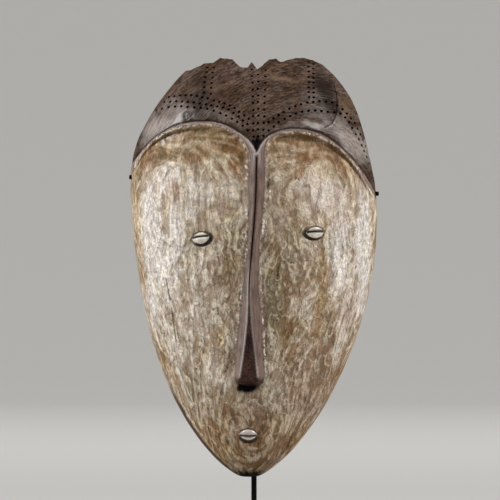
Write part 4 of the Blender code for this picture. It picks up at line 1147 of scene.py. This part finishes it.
def paintZones(mesh, zone, skinCount, brokenCount):
    total = len(mesh.vertices)
    x, h, fromEdge = zone["x"], zone["h"], zone["fromEdge"]
    flat = zone["lay"] * (1, 1, 0)
    ragged = 0.0007 * waves(flat, (0.0035, 0.0050, 1), 101) + 0.0005 * waves(flat, 0.0018, 103)
    # how far the skin has turned from the front to the side, 0 to 1
    turned = np.arcsin(np.abs(zone["sideways"])) / (math.pi / 2)
    uneven = 0.035 * waves(flat, (0.009, 0.016, 1), 102) + 0.02 * waves(flat, 0.004, 107)
    kept = fade(1.0, 0.955, turned + uneven) * fade(0.0035, 0.0075, h + 2 * ragged)
    fromSide = (1 - np.abs(zone["sideways"])) * halfWidth(h)
    middleLine = ridgeMiddle(h)
    spread = (0.24 - 0.04 * fade(0.26, 0.30, h)) * (1 - patchy(clayGrid["calm"], x, h, 109))
    offNose = (1 - zone["capShare"]) * (1 - zone["faceShare"]) ** 0.5
    jaw = fade(0.128, 0.070, h + 14 * ragged) * np.where(x < 0, 1.0, 0.45)
    lipWidth = 0.0019 + 0.0010 * waves(flat, (0.010, 0.014, 1), 104)
    lip = fade(1.25, 0.75, (fromEdge + ragged) / lipWidth) * (zone["inFace"] | (fromEdge < 0.0008))
    lip = lip * fade(0.343, 0.352, h + 0.10 * np.abs(x))
    # painted shade: the pocket between the bands is painted near black
    pocketSide = np.abs(x - carving["pocket"][0] + 0.0008) - 0.34 * (h - 0.3590)
    pocket = fade(0.0008, -0.0004, pocketSide) * fade(0.3765, 0.3725, h) * (h > 0.358)
    # painted shadow: a near-black lens right under the nose's tip
    lens = fade(1.15, 0.80, np.hypot((x + 0.0076) / 0.0122, (h - 0.0995) / 0.0048))
    nearTip = zone["onNose"] * fade(nose["end"] + 0.0120, nose["end"] + 0.0055, h)
    shown = {
        "clay": zone["faceShare"] * kept,
        "lip": lip,
        "heap": zone["heap"],
        "bare": zone["bare"],
        "lump": zone["lump"],
        "flank": zone["onNose"] * (1 - zone["ridgeShare"]) * (1 - zone["capShare"]),
        "cap": zone["capShare"],
        "band": (1 - zone["capShare"]) * (1 - zone["onNose"]),
        "crest": np.where(zone["inCap"] | zone["inFace"], 0, crestOf(zone)),
        "ridge": np.maximum(zone["ridgeShare"], nearTip) * offNose,
        "dark": np.maximum.reduce([
            # burnt dots, cracks and pits beside the nose are dark in their own colour; the pocket beside them
            # is painted shade
            zone["pit"], pocket, 0.85 * zone["crack"], 0.9 * zone["seamPit"],
            # painted shade along the carved line above the bands
            0.85 * (zone["inCap"] | (h > 0.350)) * fade(0.0016, 0.0, zone["fromBand"]),
            # painted shadow under the nose: on its cut-back face and in the lens right under its tip
            0.85 * fade(0.25, 0.65, zone["under"]), lens * (zone["under"] > 0),
            # painted shade in the nose's middle groove
            0.9 * fade(0.0009, 0.0, np.abs(x - middleLine)) * fade(0.19, 0.225, h)
            * (zone["inRidge"] & ~zone["inCap"]),
            0.9 * fade(0.0060, 0.0020, h + 3 * ragged),
            0.85 * fade(0.0110, 0.0050, h + 7 * ragged) * fade(0.022, 0.012, np.abs(x + 0.009)),
        ]),
        # dark seat floor, with painted shade where the seat stands open beside a shell
        "seat": zone["socket"],
        "brow": fade(0.335, 0.352, h) + 0.75 * fade(0.262, 0.290, h) * fade(0.352, 0.335, h),
        "ochre": np.maximum(patchy(patches["ochre"], x, h, 105), 0.9 * fade(0.085, 0.030, h)),
        "edgeWear": np.maximum(fade(0.76, 0.98, turned + uneven) * (0.45 + 0.55 * fade(0.300, 0.170, h)),
                               fade(0.038, 0.008, h + 6 * ragged)) * zone["faceShare"],
        # painted shade on the jaw's outer edge, stronger on the left, and darker at the chin's lowest edge
        "rim": np.maximum(fade(0.0048, 0.0034, fromSide + ragged) * jaw,
                          0.8 * fade(0.0130, 0.0060, h + 5 * ragged)),
        "left": 0.5 - 0.5 * np.tanh((x - middleLine) / 0.0008),
        "rot": np.zeros(skinCount),
        "thick": 0.5 + spread * zone["amount"],
        "warm": 0.5 + 0.25 * zone["warm"],
        "tone": np.where(zone["inCap"], zone["plane"], zone["own"]),
        "net": np.maximum.reduce([
            fade(0.42, 0.0, zone["marks"]) * fade(-0.9, 0.6, zone["kept"]),
            0.8 * fade(0.42, 0.0, zone["small"]) * fade(0.9, -0.6, zone["kept"]),
            0.9 * fade(0.0018, 0.0004, np.abs(fromSide + ragged - 0.0060)) * jaw,
        ]),
    }
    for number, name in enumerate(patches):
        if name not in shown:
            shown[name] = patchy(patches[name], x, h, 110 + 10 * number)
    # brown under the brows: partly stain, partly painted shade from the brows
    under = fade(0.036, 0.010, fromEdge + 0.007 * waves(flat, (0.016, 0.022, 1), 108)) * fade(0.320, 0.350, h)
    shown["brown"] = np.maximum(shown["brown"], 0.95 * under * (1 - 0.6 * zone["onNose"]))
    for name, values in shown.items():
        whole = np.zeros(total)
        whole[:skinCount] = values
        if name in ("rot", "cap"):
            whole[skinCount:brokenCount] = 1
        mesh.attributes.new(name, "FLOAT", "POINT").data.foreach_set("value", whole)
    places = np.empty(total * 3)
    mesh.vertices.foreach_get("co", places)
    lay = places.reshape(-1, 3).copy()
    lay[:skinCount] = zone["lay"]
    lay[skinCount:, 2] = 0.7
    mesh.attributes.new("lay", "FLOAT_VECTOR", "POINT").data.foreach_set("vector", lay.ravel())


# Shader maths

class Wire:
    # one socket; sums and products of wires add Math nodes
    def __init__(self, finish, socket):
        self.finish = finish
        self.socket = socket

    def math(self, operation, first, second):
        return self.finish.node("ShaderNodeMath", {"operation": operation}, {0: first, 1: second})

    def __add__(self, other):
        return self.math("ADD", self, other)

    def __radd__(self, other):
        return self.math("ADD", other, self)

    def __sub__(self, other):
        return self.math("SUBTRACT", self, other)

    def __rsub__(self, other):
        return self.math("SUBTRACT", other, self)

    def __mul__(self, other):
        return self.math("MULTIPLY", self, other)

    def __rmul__(self, other):
        return self.math("MULTIPLY", other, self)


class Finish:
    def __init__(self, name):
        self.material = bpy.data.materials.new(name)
        self.material.use_nodes = True
        self.tree = self.material.node_tree
        self.shader = self.tree.nodes["Principled BSDF"]

    def node(self, kind, settings, sockets, out=0):
        made = self.tree.nodes.new(kind)
        for key, value in settings.items():
            setattr(made, key, value)
        for key, value in sockets.items():
            self.plug(made.inputs[key], value)
        return Wire(self, made.outputs[out])

    def plug(self, target, value):
        if isinstance(value, Wire):
            self.tree.links.new(value.socket, target)
        elif target.type == "RGBA":
            target.default_value = (*value, 1.0)
        else:
            target.default_value = value

    def surface(self, **values):
        for key, value in values.items():
            self.plug(self.shader.inputs[key.replace("_", " ")], value)
        return self.material

    def value(self, name):
        return self.node("ShaderNodeAttribute", {"attribute_name": name}, {}, 2)

    def vector(self, name):
        return self.node("ShaderNodeAttribute", {"attribute_name": name}, {}, 1)

    def place(self):
        return self.node("ShaderNodeNewGeometry", {}, {}, 0)

    def stretch(self, vector, by):
        return self.node("ShaderNodeVectorMath", {"operation": "MULTIPLY"}, {0: vector, 1: by})

    def shift(self, vector, by):
        return self.node("ShaderNodeVectorMath", {"operation": "ADD"}, {0: vector, 1: by})

    def noise(self, vector, size, detail=3.0, uneven=0.55):
        return self.node("ShaderNodeTexNoise", {}, {
            "Vector": vector, "Scale": 1 / size, "Detail": detail, "Roughness": uneven})

    def warped(self, vector, size, by):
        # the vector, pushed about by a noise of that size
        push = self.node("ShaderNodeTexNoise", {}, {"Vector": vector, "Scale": 1 / size, "Detail": 2.0}, 1)
        centred = self.node("ShaderNodeVectorMath", {"operation": "SUBTRACT"}, {0: push, 1: (0.5, 0.5, 0.5)})
        return self.shift(vector, self.stretch(centred, (by, by, by)))

    def cells(self, vector, size, feature="DISTANCE_TO_EDGE"):
        return self.node("ShaderNodeTexVoronoi", {"feature": feature}, {"Vector": vector, "Scale": 1 / size})

    def ramp(self, value, low, high):
        # 0 up to low, 1 from high on, eased between; low may be the larger
        return self.node("ShaderNodeMapRange", {"interpolation_type": "SMOOTHSTEP"},
                         {"Value": value, "From Min": low, "From Max": high})

    def near(self, value, place, reach):
        # 1 where the value is at that place, 0 from that far away
        away = value - place
        return self.ramp(away.math("ABSOLUTE", away, 0.0), reach, 0.25 * reach)

    def mix(self, share, first, second, way="MIX"):
        return self.node("ShaderNodeMix", {"data_type": "RGBA", "blend_type": way},
                         {0: share, 6: first, 7: second}, 2)

    def bump(self, height, distance, strength=1.0):
        return self.node("ShaderNodeBump", {}, {"Height": height, "Distance": distance, "Strength": strength})


clayColours = {
    "white": (0.67, 0.615, 0.570),
    "cream": (0.525, 0.452, 0.345),
    "tan": (0.322, 0.235, 0.154),
    "rubbed": (0.238, 0.162, 0.102),
    "olive": (0.228, 0.190, 0.113),
    "brown": (0.110, 0.070, 0.042),
    "pale": (0.420, 0.345, 0.290),
    "lip": (0.66, 0.55, 0.45),
    "lipDark": (0.160, 0.085, 0.058),
    "heap": (0.74, 0.66, 0.60),
    "worn": (0.270, 0.185, 0.118),
    "wornDark": (0.120, 0.076, 0.048),
    "wornOchre": (0.235, 0.130, 0.062),
    "ochre": (0.280, 0.185, 0.100),
    "grey": (0.290, 0.232, 0.195),
    "line": (0.66, 0.585, 0.46),
    "groove": (0.150, 0.105, 0.070),
    "rim": (0.052, 0.031, 0.021),
    "pit": (0.085, 0.058, 0.038),
}
clayTints = {
    "brown": (0.62, 0.490, 0.355),
    "ochre": (0.88, 0.70, 0.46),
    "olive": (0.84, 0.84, 0.72),
    "pink": (0.86, 0.745, 0.715),
}
woodColours = {
    "brown": (0.040, 0.0225, 0.0140),
    "dark": (0.022, 0.0125, 0.0085),
    "grey": (0.073, 0.049, 0.038),
    "tan": (0.130, 0.082, 0.049),
    "flank": (0.155, 0.105, 0.086),
    "flankLeft": (0.190, 0.143, 0.124),
    "ridge": (0.015, 0.0075, 0.0065),
    "ridgeRed": (0.062, 0.028, 0.021),
    "bare": (0.120, 0.062, 0.042),
    "crest": (0.50, 0.44, 0.42),
    "sheen": (0.34, 0.290, 0.260),
    "soot": (0.0135, 0.0100, 0.0088),
    "rotten": (0.075, 0.052, 0.038),
    "seat": (0.020, 0.0115, 0.0075),
    "pit": (0.0045, 0.0036, 0.0034),
}


def clayedWood():
    f = Finish("clay_over_wood")
    lay = f.vector("lay")
    drawn = f.stretch(lay, (1.0, 0.55, 1.0))
    blotch = f.noise(f.warped(drawn, 0.0050, 0.0040), 0.0034, 5.0, 0.66)
    smudge = f.noise(f.warped(drawn, 0.0120, 0.0090), 0.0100, 5.0, 0.62)
    fine = f.noise(f.stretch(lay, (1.0, 0.62, 1.0)), 0.0015, 3.0, 0.62)
    bent = f.warped(lay, 0.0130, 0.0090)
    streak = f.noise(f.stretch(bent, (1.0, 0.14, 1.0)), 0.0016, 4.0, 0.62)
    stroke = f.noise(f.stretch(bent, (1.0, 0.30, 1.0)), 0.0016, 4.0, 0.62)
    tone, net, warm = f.value("tone"), f.value("net"), f.value("warm")
    white, brown, olive, pink = (f.value(name) for name in ("white", "brown", "olive", "pink"))
    brow = f.value("brow")

    # clay: cream where it is thick, tan to brown where it is rubbed, stained in patches
    thick = f.value("thick") + 0.50 * (blotch - 0.5) + 0.28 * (fine - 0.5) + brow * (0.55 * (smudge - 0.5))
    rubbed = f.mix(f.ramp(smudge + 0.25 * tone, 0.38, 0.62), clayColours["rubbed"], clayColours["tan"])
    rubbed = f.mix(f.ramp(warm, 0.52, 0.80) * 0.60, rubbed, clayColours["ochre"])
    rubbed = f.mix(f.ramp(warm, 0.48, 0.20) * 0.60, rubbed, clayColours["olive"])
    rubbed = f.mix(f.ramp(tone, 0.15, 0.70) * 0.60, rubbed, clayColours["grey"])
    rubbed = f.mix(white * 0.85, rubbed, clayColours["pale"])
    clay = f.mix(f.ramp(thick, 0.28, 0.84), rubbed, clayColours["cream"])
    clay = f.mix(f.ramp(white + 0.7 * (thick - 0.5), 0.22, 0.92), clay, clayColours["white"])
    # each layer ends in a raised light edge with a line of painted shade beside it
    layerEdge = f.near(thick, 0.60, 0.050) * f.ramp(smudge, 0.38, 0.56)
    clay = f.mix(layerEdge * 0.60, clay, clayColours["line"])
    clay = f.mix(f.near(thick, 0.43, 0.035) * f.ramp(smudge, 0.60, 0.46) * 0.55, clay, clayColours["groove"])
    facetEdge = f.ramp(net - 0.25 * brow + 0.35 * (fine - 0.5) + 0.6 * (blotch - 0.5), 0.44, 0.72)
    clay = f.mix(facetEdge * 0.66, clay, clayColours["line"])
    clay = f.mix(1.0, clay, 1.0 + 0.13 * tone, "MULTIPLY")
    clay = f.mix(f.ramp(streak, 0.56, 0.68) * (0.26 - 0.22 * brow), clay, clayColours["brown"])
    # small sharp pits and hairlines where it flaked
    flaked = f.ramp(smudge + 0.30 * olive - 0.25 * white + 0.25 * (fine - 0.5), 0.46, 0.62)
    pits = f.ramp(f.cells(f.stretch(bent, (1.0, 0.34, 1.0)), 0.0042, "F1"), 0.30, 0.16)
    hairs = f.ramp(f.cells(f.stretch(bent, (1.0, 0.42, 1.0)), 0.0078), 0.045, 0.010)
    clay = f.mix(pits * flaked * (0.75 - 0.50 * brow), clay, clayColours["pit"])
    clay = f.mix(hairs * f.ramp(blotch, 0.42, 0.58) * (0.50 - 0.44 * brow), clay, clayColours["pit"])
    chalked = f.ramp(streak, 0.44, 0.32) * (0.12 + 0.30 * white) * (1 - 0.8 * brow)
    clay = f.mix(chalked, clay, clayColours["white"])
    stains = {
        "brown": brown * (0.40 + 0.60 * f.ramp(thick, 1.05, 0.45)),
        "ochre": f.value("ochre") * f.ramp(thick, 1.05, 0.40),
        "olive": olive * f.ramp(smudge, 0.66, 0.40),
        "pink": pink * f.ramp(blotch, 0.70, 0.40),
    }
    for name, share in stains.items():
        clay = f.mix(share, clay, clayTints[name], "MULTIPLY")
    detail = (0.34 - 0.30 * brow) * stroke + (0.34 + 0.30 * brow) * blotch + 0.32 * fine
    clay = f.mix(1.0, clay, 1.34 - 0.66 * f.ramp(detail, 0.40, 0.58), "MULTIPLY")

    # wood: brown with grey patches, darker in the grain, lighter grey on smooth places low on the forehead's
    # sides, partly painted sheen, blackened in patches
    grain = f.noise(f.stretch(lay, (1.0, 0.08, 1.0)), 0.0013, 4.0, 0.6)
    cloud = f.noise(f.warped(lay, 0.016, 0.014), 0.018, 4.0, 0.6)
    worn = f.value("edgeWear")
    wornGrain = f.ramp(grain + 0.6 * (cloud - 0.5), 0.40, 0.62)
    wornWood = f.mix(wornGrain, clayColours["worn"], clayColours["wornDark"])
    wornWood = f.mix(f.value("ochre") * 0.55, wornWood, clayColours["wornOchre"])
    clay = f.mix(worn * f.ramp(blotch + 0.5 * (thick - 0.5), 0.56, 0.42) * 0.85, clay, wornWood)
    wood = f.mix(f.ramp(cloud + 0.12 * tone, 0.36, 0.66), woodColours["brown"], woodColours["grey"])
    hair = f.noise(f.stretch(lay, (1.0, 0.15, 1.0)), 0.0012, 3.0, 0.68)
    wood = f.mix(f.ramp(grain, 0.50, 0.66) * 0.55, wood, woodColours["dark"])
    wood = f.mix(f.ramp(grain, 0.46, 0.30) * 0.40, wood, woodColours["tan"])
    wood = f.mix(1.0, wood, 0.34 + 1.32 * f.ramp(0.6 * hair + 0.4 * fine, 0.38, 0.62), "MULTIPLY")
    wood = f.mix(f.value("tan") * f.ramp(cloud + 0.4 * grain, 0.50, 0.85), wood, woodColours["tan"])
    # grey of the smoothed wood and painted sheen, low on the forehead's sides
    bloomAndSheen = f.value("sheen") * (0.50 + 0.50 * f.ramp(hair + 0.4 * (grain - 0.5), 0.42, 0.58)) * 0.72
    wood = f.mix(bloomAndSheen, wood, woodColours["sheen"])
    scorched = 0.5 * cloud + 0.5 * smudge + 0.5 * (grain - 0.5) + 0.6 * (fine - 0.5)
    soot = f.value("soot") * f.ramp(scorched, 0.36, 0.54)
    wood = f.mix(soot * 0.84, wood, woodColours["soot"])
    # the nose's flanks: the left one painted lighter, as lit from that side, and cooler in tone
    flank = f.mix(f.value("left"), woodColours["flank"], woodColours["flankLeft"])
    flank = f.mix(1.0, flank, 0.50 + 0.56 * f.ramp(0.7 * grain + 0.3 * cloud, 0.62, 0.40), "MULTIPLY")
    wood = f.mix(f.value("flank") + f.value("band"), wood, flank)
    front = f.mix(f.ramp(0.4 * cloud + 0.6 * fine, 0.42, 0.60), woodColours["ridge"], woodColours["ridgeRed"])
    wood = f.mix(f.value("ridge"), wood, front)
    # lighter crest lines: wear and painted highlight
    wood = f.mix(f.value("crest") * f.ramp(fine, 0.80, 0.40), wood, woodColours["crest"])
    decayed = f.mix(f.ramp(grain, 0.4, 0.6), woodColours["rotten"], woodColours["brown"])
    wood = f.mix(f.value("rot") * 0.85, wood, decayed)
    wood = f.mix(worn * 0.9, wood, wornWood)

    # clay over wood, and what lies on both
    rim = f.value("rim")
    clayShare = f.ramp(f.value("clay") - 0.9 * rim + 0.5 * (blotch - 0.5) + 0.3 * (fine - 0.5), 0.35, 0.60)
    # the jaw's edge painted dark as shade
    colour = f.mix(clayShare, f.mix(rim * 0.85, wood, clayColours["rim"]), clay)
    # the clay heaped on the lips is lighter and more broken
    lip = f.value("lip")
    patchiness = 2.6 * (smudge - 0.5) + 1.8 * (blotch - 0.5) + 0.30 * brow
    broken = f.ramp(f.value("lump") + 1.6 * (fine - 0.5) + patchiness, -0.25, 0.70)
    colour = f.mix(lip * 0.88, colour, f.mix(broken, clayColours["lipDark"], clayColours["lip"]))
    colour = f.mix(f.value("bare") * f.ramp(fine, 0.62, 0.40) * 0.85, colour, woodColours["bare"])
    heaped = f.ramp(f.value("heap") + 1.0 * (fine - 0.5) + 0.5 * (blotch - 0.5), 0.22, 0.62)
    colour = f.mix(heaped, colour, clayColours["heap"])
    # the seat's dark floor beside the shells, painted darker as shade where the gap is open
    colour = f.mix(f.value("seat") * 0.92, colour, woodColours["seat"])
    # near black: burnt dots, cracks and pits, with painted shade in the pocket, the carved line and the nose's
    # groove, and painted shadow under the nose
    colour = f.mix(f.value("dark"), colour, woodColours["pit"])

    gloss = 0.50 + 0.18 * f.ramp(thick, 0.30, 0.80) + 0.16 * (fine - 0.5)
    woodGloss = 0.50 + 0.18 * grain - 0.08 * f.value("ridge") + 0.2 * f.value("rot")
    shine = clayShare * gloss + (1 - clayShare) * woodGloss + 0.35 * f.value("dark")
    polish = 0.14 + 0.66 * white + 0.80 * f.value("sheen") + 0.35 * f.value("flank")
    polish = polish * (1 - f.value("dark")) * (1 - 0.9 * soot)
    clayRelief = 0.60 * thick + 0.30 * fine + 0.25 * stroke
    clayRelief = clayRelief + 0.35 * layerEdge + 0.40 * facetEdge - 0.35 * hairs
    relief = clayShare * clayRelief + (1 - clayShare) * (0.60 * grain + 0.15 * fine) + lip * 0.8 * fine
    return f.surface(Base_Color=colour, Roughness=shine, Specular_IOR_Level=0.0, Coat_Weight=polish,
                     Coat_Roughness=0.36, Normal=f.bump(relief, 0.0016, 0.8))


hollowColours = {
    "dark": (0.085, 0.052, 0.032),
    "light": (0.150, 0.100, 0.065),
    "grain": (0.045, 0.028, 0.018),
    "gouge": (0.185, 0.130, 0.088),
    "ridge": (0.050, 0.031, 0.020),
}
shellColours = {
    "light": (0.62, 0.585, 0.505),
    "dull": (0.44, 0.40, 0.34),
    "upper": (0.30, 0.265, 0.250),
    "lips": (0.21, 0.19, 0.145),
    "slit": (0.022, 0.017, 0.013),
    "base": (0.28, 0.22, 0.165),
}
steelColours = {"dark": (0.0016, 0.0014, 0.0013), "light": (0.0034, 0.0030, 0.0027)}


def hollowWood():
    f, tints = Finish("hollow_wood"), hollowColours
    where = f.place()
    grain = f.noise(f.stretch(where, (1.0, 1.0, 0.08)), 0.0030, 4.0, 0.6)
    cloud = f.noise(where, 0.030, 4.0, 0.6)
    colour = f.mix(f.ramp(cloud, 0.35, 0.65), tints["dark"], tints["light"])
    colour = f.mix(f.ramp(grain, 0.45, 0.70) * 0.6, colour, tints["grain"])
    colour = f.mix(f.ramp(f.value("tone") + 0.8 * (cloud - 0.5), 0.1, 0.7) * 0.45, colour, tints["gouge"])
    colour = f.mix(f.ramp(f.value("net") + 0.8 * (grain - 0.5), 0.55, 1.0) * 0.55, colour, tints["ridge"])
    shine = 0.66 + 0.2 * (grain - 0.5)
    return f.surface(Base_Color=colour, Roughness=shine, Normal=f.bump(grain, 0.0008, 0.6))


def shellGloss():
    f, tints = Finish("cowrie_shell"), shellColours
    where = f.place()
    cloud = f.noise(where, 0.0040, 3.0)
    slit = f.value("slit")
    base = f.value("base")
    colour = f.mix(f.ramp(cloud, 0.36, 0.66), tints["light"], tints["dull"])
    # painted shade greying the shell above its slit
    colour = f.mix(f.value("upper") * 0.75, colour, tints["upper"])
    colour = f.mix(f.ramp(slit, 0.06, 0.34) * 0.62, colour, tints["lips"])
    colour = f.mix(f.ramp(slit, 0.34, 0.70), colour, tints["slit"])
    colour = f.mix(base * f.ramp(f.noise(where, 0.0015), 0.30, 0.55), colour, tints["base"])
    return f.surface(Base_Color=colour, Roughness=0.26 + 0.3 * slit + 0.25 * base, Coat_Weight=0.3,
                     Coat_Roughness=0.12, Normal=f.bump(f.noise(where, 0.0009), 0.0002, 0.4))


def blackSteel():
    f = Finish("satin_black_steel")
    where = f.place()
    cloud = f.noise(where, 0.010, 4.0)
    speck = f.noise(where, 0.0007, 2.0)
    colour = f.mix(f.ramp(cloud, 0.4, 0.7), steelColours["dark"], steelColours["light"])
    return f.surface(Base_Color=colour, Roughness=0.50 + 0.16 * cloud, Specular_IOR_Level=0.07,
                     Normal=f.bump(speck, 0.00012, 0.4))


# Cowries

def buildCowrie(name, material):
    shell, shape = cowries[name], cowrieShape
    floor, along, across, out = socketFrame(name)
    share = -np.cos(math.pi * np.arange(shape["stations"] + 1) / shape["stations"])
    lane = -np.cos(math.pi * np.arange(shape["lanes"] + 1) / shape["lanes"])
    s, l = np.meshgrid(share, lane, indexing="ij")
    half = shell["width"] / 2 * (1 - np.abs(s) ** 1.8) ** 0.68 * (1 + 0.08 * s)
    crown = np.clip(1 - np.abs(s) ** 2.2, 0, 1) ** 0.6 * np.clip(1 - np.abs(l) ** 2.2, 0, 1) ** 0.55
    rise = shape["edge"] + (shape["proud"] - shape["edge"]) * crown
    # slit with inrolled lips and teeth
    u, v = s * shell["length"] / 2, l * half
    slitV = (shell["slit"] + 0.10 * (1 - s**2) - 0.05) * shell["width"] / 2
    fromSlit = v - slitV
    gape = shape["slitHalfWidth"] * (0.6 + 0.4 * shell["open"]) * (1 + 0.7 * np.abs(s) ** 3)
    ends = fade(0.97, 0.86, np.abs(s))
    cut = np.exp(-(fromSlit / gape) ** 2) * ends
    valleyReach = shape["valleyHalfWidth"] * (0.7 + 0.3 * shell["open"])
    valley = np.exp(-(fromSlit / valleyReach) ** 2) * (1 - s**4)
    teeth = np.cos(s * math.pi * shape["teeth"]) * np.exp(-((np.abs(fromSlit) - 0.0008) / 0.0008) ** 2) * ends
    rise = rise - shape["slitDepth"] * cut - shape["valleyDepth"] * valley + shape["toothDepth"] * teeth
    top = np.stack([u, v, np.maximum(rise, 0.0004)], axis=-1)
    rows, columns = top.shape[:2]
    bm = bmesh.new()
    slitLayer = bm.verts.layers.float.new("slit")
    baseLayer = bm.verts.layers.float.new("base")
    upperLayer = bm.verts.layers.float.new("upper")
    verts = [[bm.verts.new(point) for point in line] for line in top.tolist()]
    layers = (
        (slitLayer, np.maximum(cut, np.minimum(0.22 * shell["open"] * valley, 0.42))),
        (upperLayer, shell["upperShade"] * fade(0, 0.0012, fromSlit)),
        (baseLayer, fade(0.0026, 0.0014, rise) * (cut < 0.2)),
    )
    for (layer, values), row, column in product(layers, range(rows), range(columns)):
        verts[row][column][layer] = float(values[row, column])
    for low, high in zip(verts[:-1], verts[1:]):
        for k in range(columns - 1):
            bm.faces.new((low[k], high[k], high[k + 1], low[k + 1]))
    bmesh.ops.remove_doubles(bm, verts=bm.verts, dist=1e-6)
    rim = [item for item in bm.edges if item.is_boundary]
    made = bmesh.ops.extrude_edge_only(bm, edges=rim)["geom"]
    for vert in (item for item in made if isinstance(item, bmesh.types.BMVert)):
        vert.co = (vert.co.x * 0.96, vert.co.y * 0.94, 0.0)
    bmesh.ops.holes_fill(bm, edges=[item for item in bm.edges if item.is_boundary], sides=0)
    bmesh.ops.recalc_face_normals(bm, faces=bm.faces)
    mesh = meshFrom(bm, name + "_shell")
    turn = Matrix((along, across, out)).transposed().to_4x4()
    mesh.transform(Matrix.Translation(Vector(inWorld(np.array(floor))) + out * shape["gap"]) @ turn)
    mesh.shade_smooth()
    mesh.materials.append(material)
    return addObject(name + "_shell", mesh)


# Holes in the mask's sides for the ends of the stand's arm

def armPoint(x):
    tips = armTips
    slope = (tips["rodY"] - rimY + tips["inset"]) / (tips["reach"] - tips["bend"] / 2)
    run = x * x / (2 * tips["bend"]) if abs(x) < tips["bend"] else abs(x) - tips["bend"] / 2
    low, high = tips["heights"]
    h = low + (high - low) * (x + tips["reach"]) / (2 * tips["reach"])
    return Vector((x, tips["rodY"] - slope * run, chinZ + h))


def cutHoles(mask):
    for side in (-1, 1):
        start = armPoint(side * (armTips["reach"] - 0.040))
        end = armPoint(side * (armTips["reach"] + 0.010))
        bm = bmesh.new()
        radius = armTips["radius"] + 2 * armTips["gap"]
        turn = (end - start).to_track_quat("Z", "Y").to_matrix().to_4x4()
        place = Matrix.Translation((start + end) / 2) @ turn
        bmesh.ops.create_cone(bm, cap_ends=True, segments=armTips["holeSides"], radius1=radius,
                              radius2=radius, depth=(end - start).length, matrix=place)
        cutter = addObject("hole", meshFrom(bm, "hole"))
        modifier = mask.modifiers.new("hole", "BOOLEAN")
        modifier.operation = "DIFFERENCE"
        modifier.object = cutter
        bpy.context.view_layer.update()
        cut = bpy.data.meshes.new_from_object(mask.evaluated_get(bpy.context.evaluated_depsgraph_get()))
        mask.modifiers.clear()
        mask.data = cut
        bpy.data.objects.remove(cutter)


# Floor, light and camera

studio = {
    "floorColour": (0.66, 0.645, 0.62),
    "flatRadius": 10.0,
    "outerRadius": 16.0,
    "wallHeight": 7.0,
    "turns": 96,
    "bendSteps": 12,
    "cameraDistance": 10.0,
    "pictureWidth": 0.55,  # at the mask
    "aimX": -0.0044,
    "aimZ": 0.336,
    "sideLight": 37.0,
    "sideAngle": 70.0,  # from straight in front of the mask
    "sideLift": 36.0,  # above it
    "sideDistance": 1.9,
    "sideSize": (0.40, 0.60),
    "wallLight": 420.0,
    "wallLightAt": (0, 4.0, 7.0),
    "wallLightAim": (0, 12.5, 0),
    "wallLightSize": (7.0, 3.0),
    "sensor": 36,
    "sky": (0.34, 0.34, 0.34),
}


def buildStage():
    bm = bmesh.new()
    turns, steps = studio["turns"], studio["bendSteps"]
    profile = [(0.0, 0.0), (1.0, 0.0), (4.0, 0.0), (studio["flatRadius"], 0.0)]
    bend = studio["outerRadius"] - studio["flatRadius"]
    for k in range(1, steps + 1):
        angle = math.pi / 2 * k / steps
        profile.append((studio["flatRadius"] + bend * math.sin(angle), bend * (1 - math.cos(angle))))
    profile.append((studio["outerRadius"], studio["wallHeight"]))
    around = [(math.cos(t * 2 * math.pi / turns), math.sin(t * 2 * math.pi / turns)) for t in range(turns)]
    rings = [[bm.verts.new((radius * c, radius * s, z)) for c, s in (around if radius else around[:1])]
             for radius, z in profile]
    for low, high in zip(rings[:-1], rings[1:]):
        for t in range(turns):
            after = (t + 1) % turns
            if len(low) == 1:
                bm.faces.new((low[0], high[t], high[after]))
            else:
                bm.faces.new((low[t], high[t], high[after], low[after]))
    mesh = meshFrom(bm, "studio_floor")
    mesh.shade_smooth()
    f = Finish("pale_floor")
    mesh.materials.append(f.surface(Base_Color=studio["floorColour"], Roughness=0.8))
    floor = addObject("studio_floor", mesh)


def addLight(name, place, aim, size, power):
    light = bpy.data.lights.new(name, "AREA")
    light.shape = "RECTANGLE"
    light.size, light.size_y = size
    light.energy = power
    made = addObject(name, light)
    made.visible_camera = False
    made.location = place
    made.rotation_euler = (Vector(aim) - Vector(place)).to_track_quat("-Z", "Y").to_euler()


def buildStudio():
    aim = Vector((0, 0, studio["aimZ"]))
    for name, side in (("left_light", -1), ("right_light", 1)):
        angle, lift = math.radians(studio["sideAngle"]) * side, math.radians(studio["sideLift"])
        away = Vector((math.sin(angle) * math.cos(lift), -math.cos(angle) * math.cos(lift), math.sin(lift)))
        addLight(name, aim + away * studio["sideDistance"], aim, studio["sideSize"], studio["sideLight"])
    addLight("wall_light", studio["wallLightAt"], studio["wallLightAim"], studio["wallLightSize"],
             studio["wallLight"])
    world = bpy.data.worlds.new("studio_air")
    world.use_nodes = True
    world.node_tree.nodes["Background"].inputs[0].default_value = (*studio["sky"], 1)
    bpy.context.scene.world = world
    camera = bpy.data.cameras.new("camera")
    camera.sensor_width = studio["sensor"]
    camera.lens = studio["sensor"] * studio["cameraDistance"] / studio["pictureWidth"]
    camera.clip_end = 60
    seen = addObject("camera", camera)
    seen.location = (studio["aimX"], -studio["cameraDistance"], studio["aimZ"])
    seen.rotation_euler = (math.pi / 2, 0, 0)
    bpy.context.scene.camera = seen
    bpy.context.scene.view_settings.view_transform = "Standard"


print("carving the mask")
mask = buildMask()
mask.data.materials.append(clayedWood())
mask.data.materials.append(hollowWood())
cutHoles(mask)
print("mask after its holes:", len(mask.data.vertices), "points")
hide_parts("mask")
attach(mask, "root")

print("setting the cowries")
shellMaterial = shellGloss()
for name in cowries:
    shell = buildCowrie(name, shellMaterial)
    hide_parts(name)
    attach(shell, "root")

print("painting the stand")
steel = blackSteel()
for name in ("stand_rod", "stand_foot"):
    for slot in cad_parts[name].material_slots:
        slot.material = steel

print("lighting")
buildStage()
buildStudio()
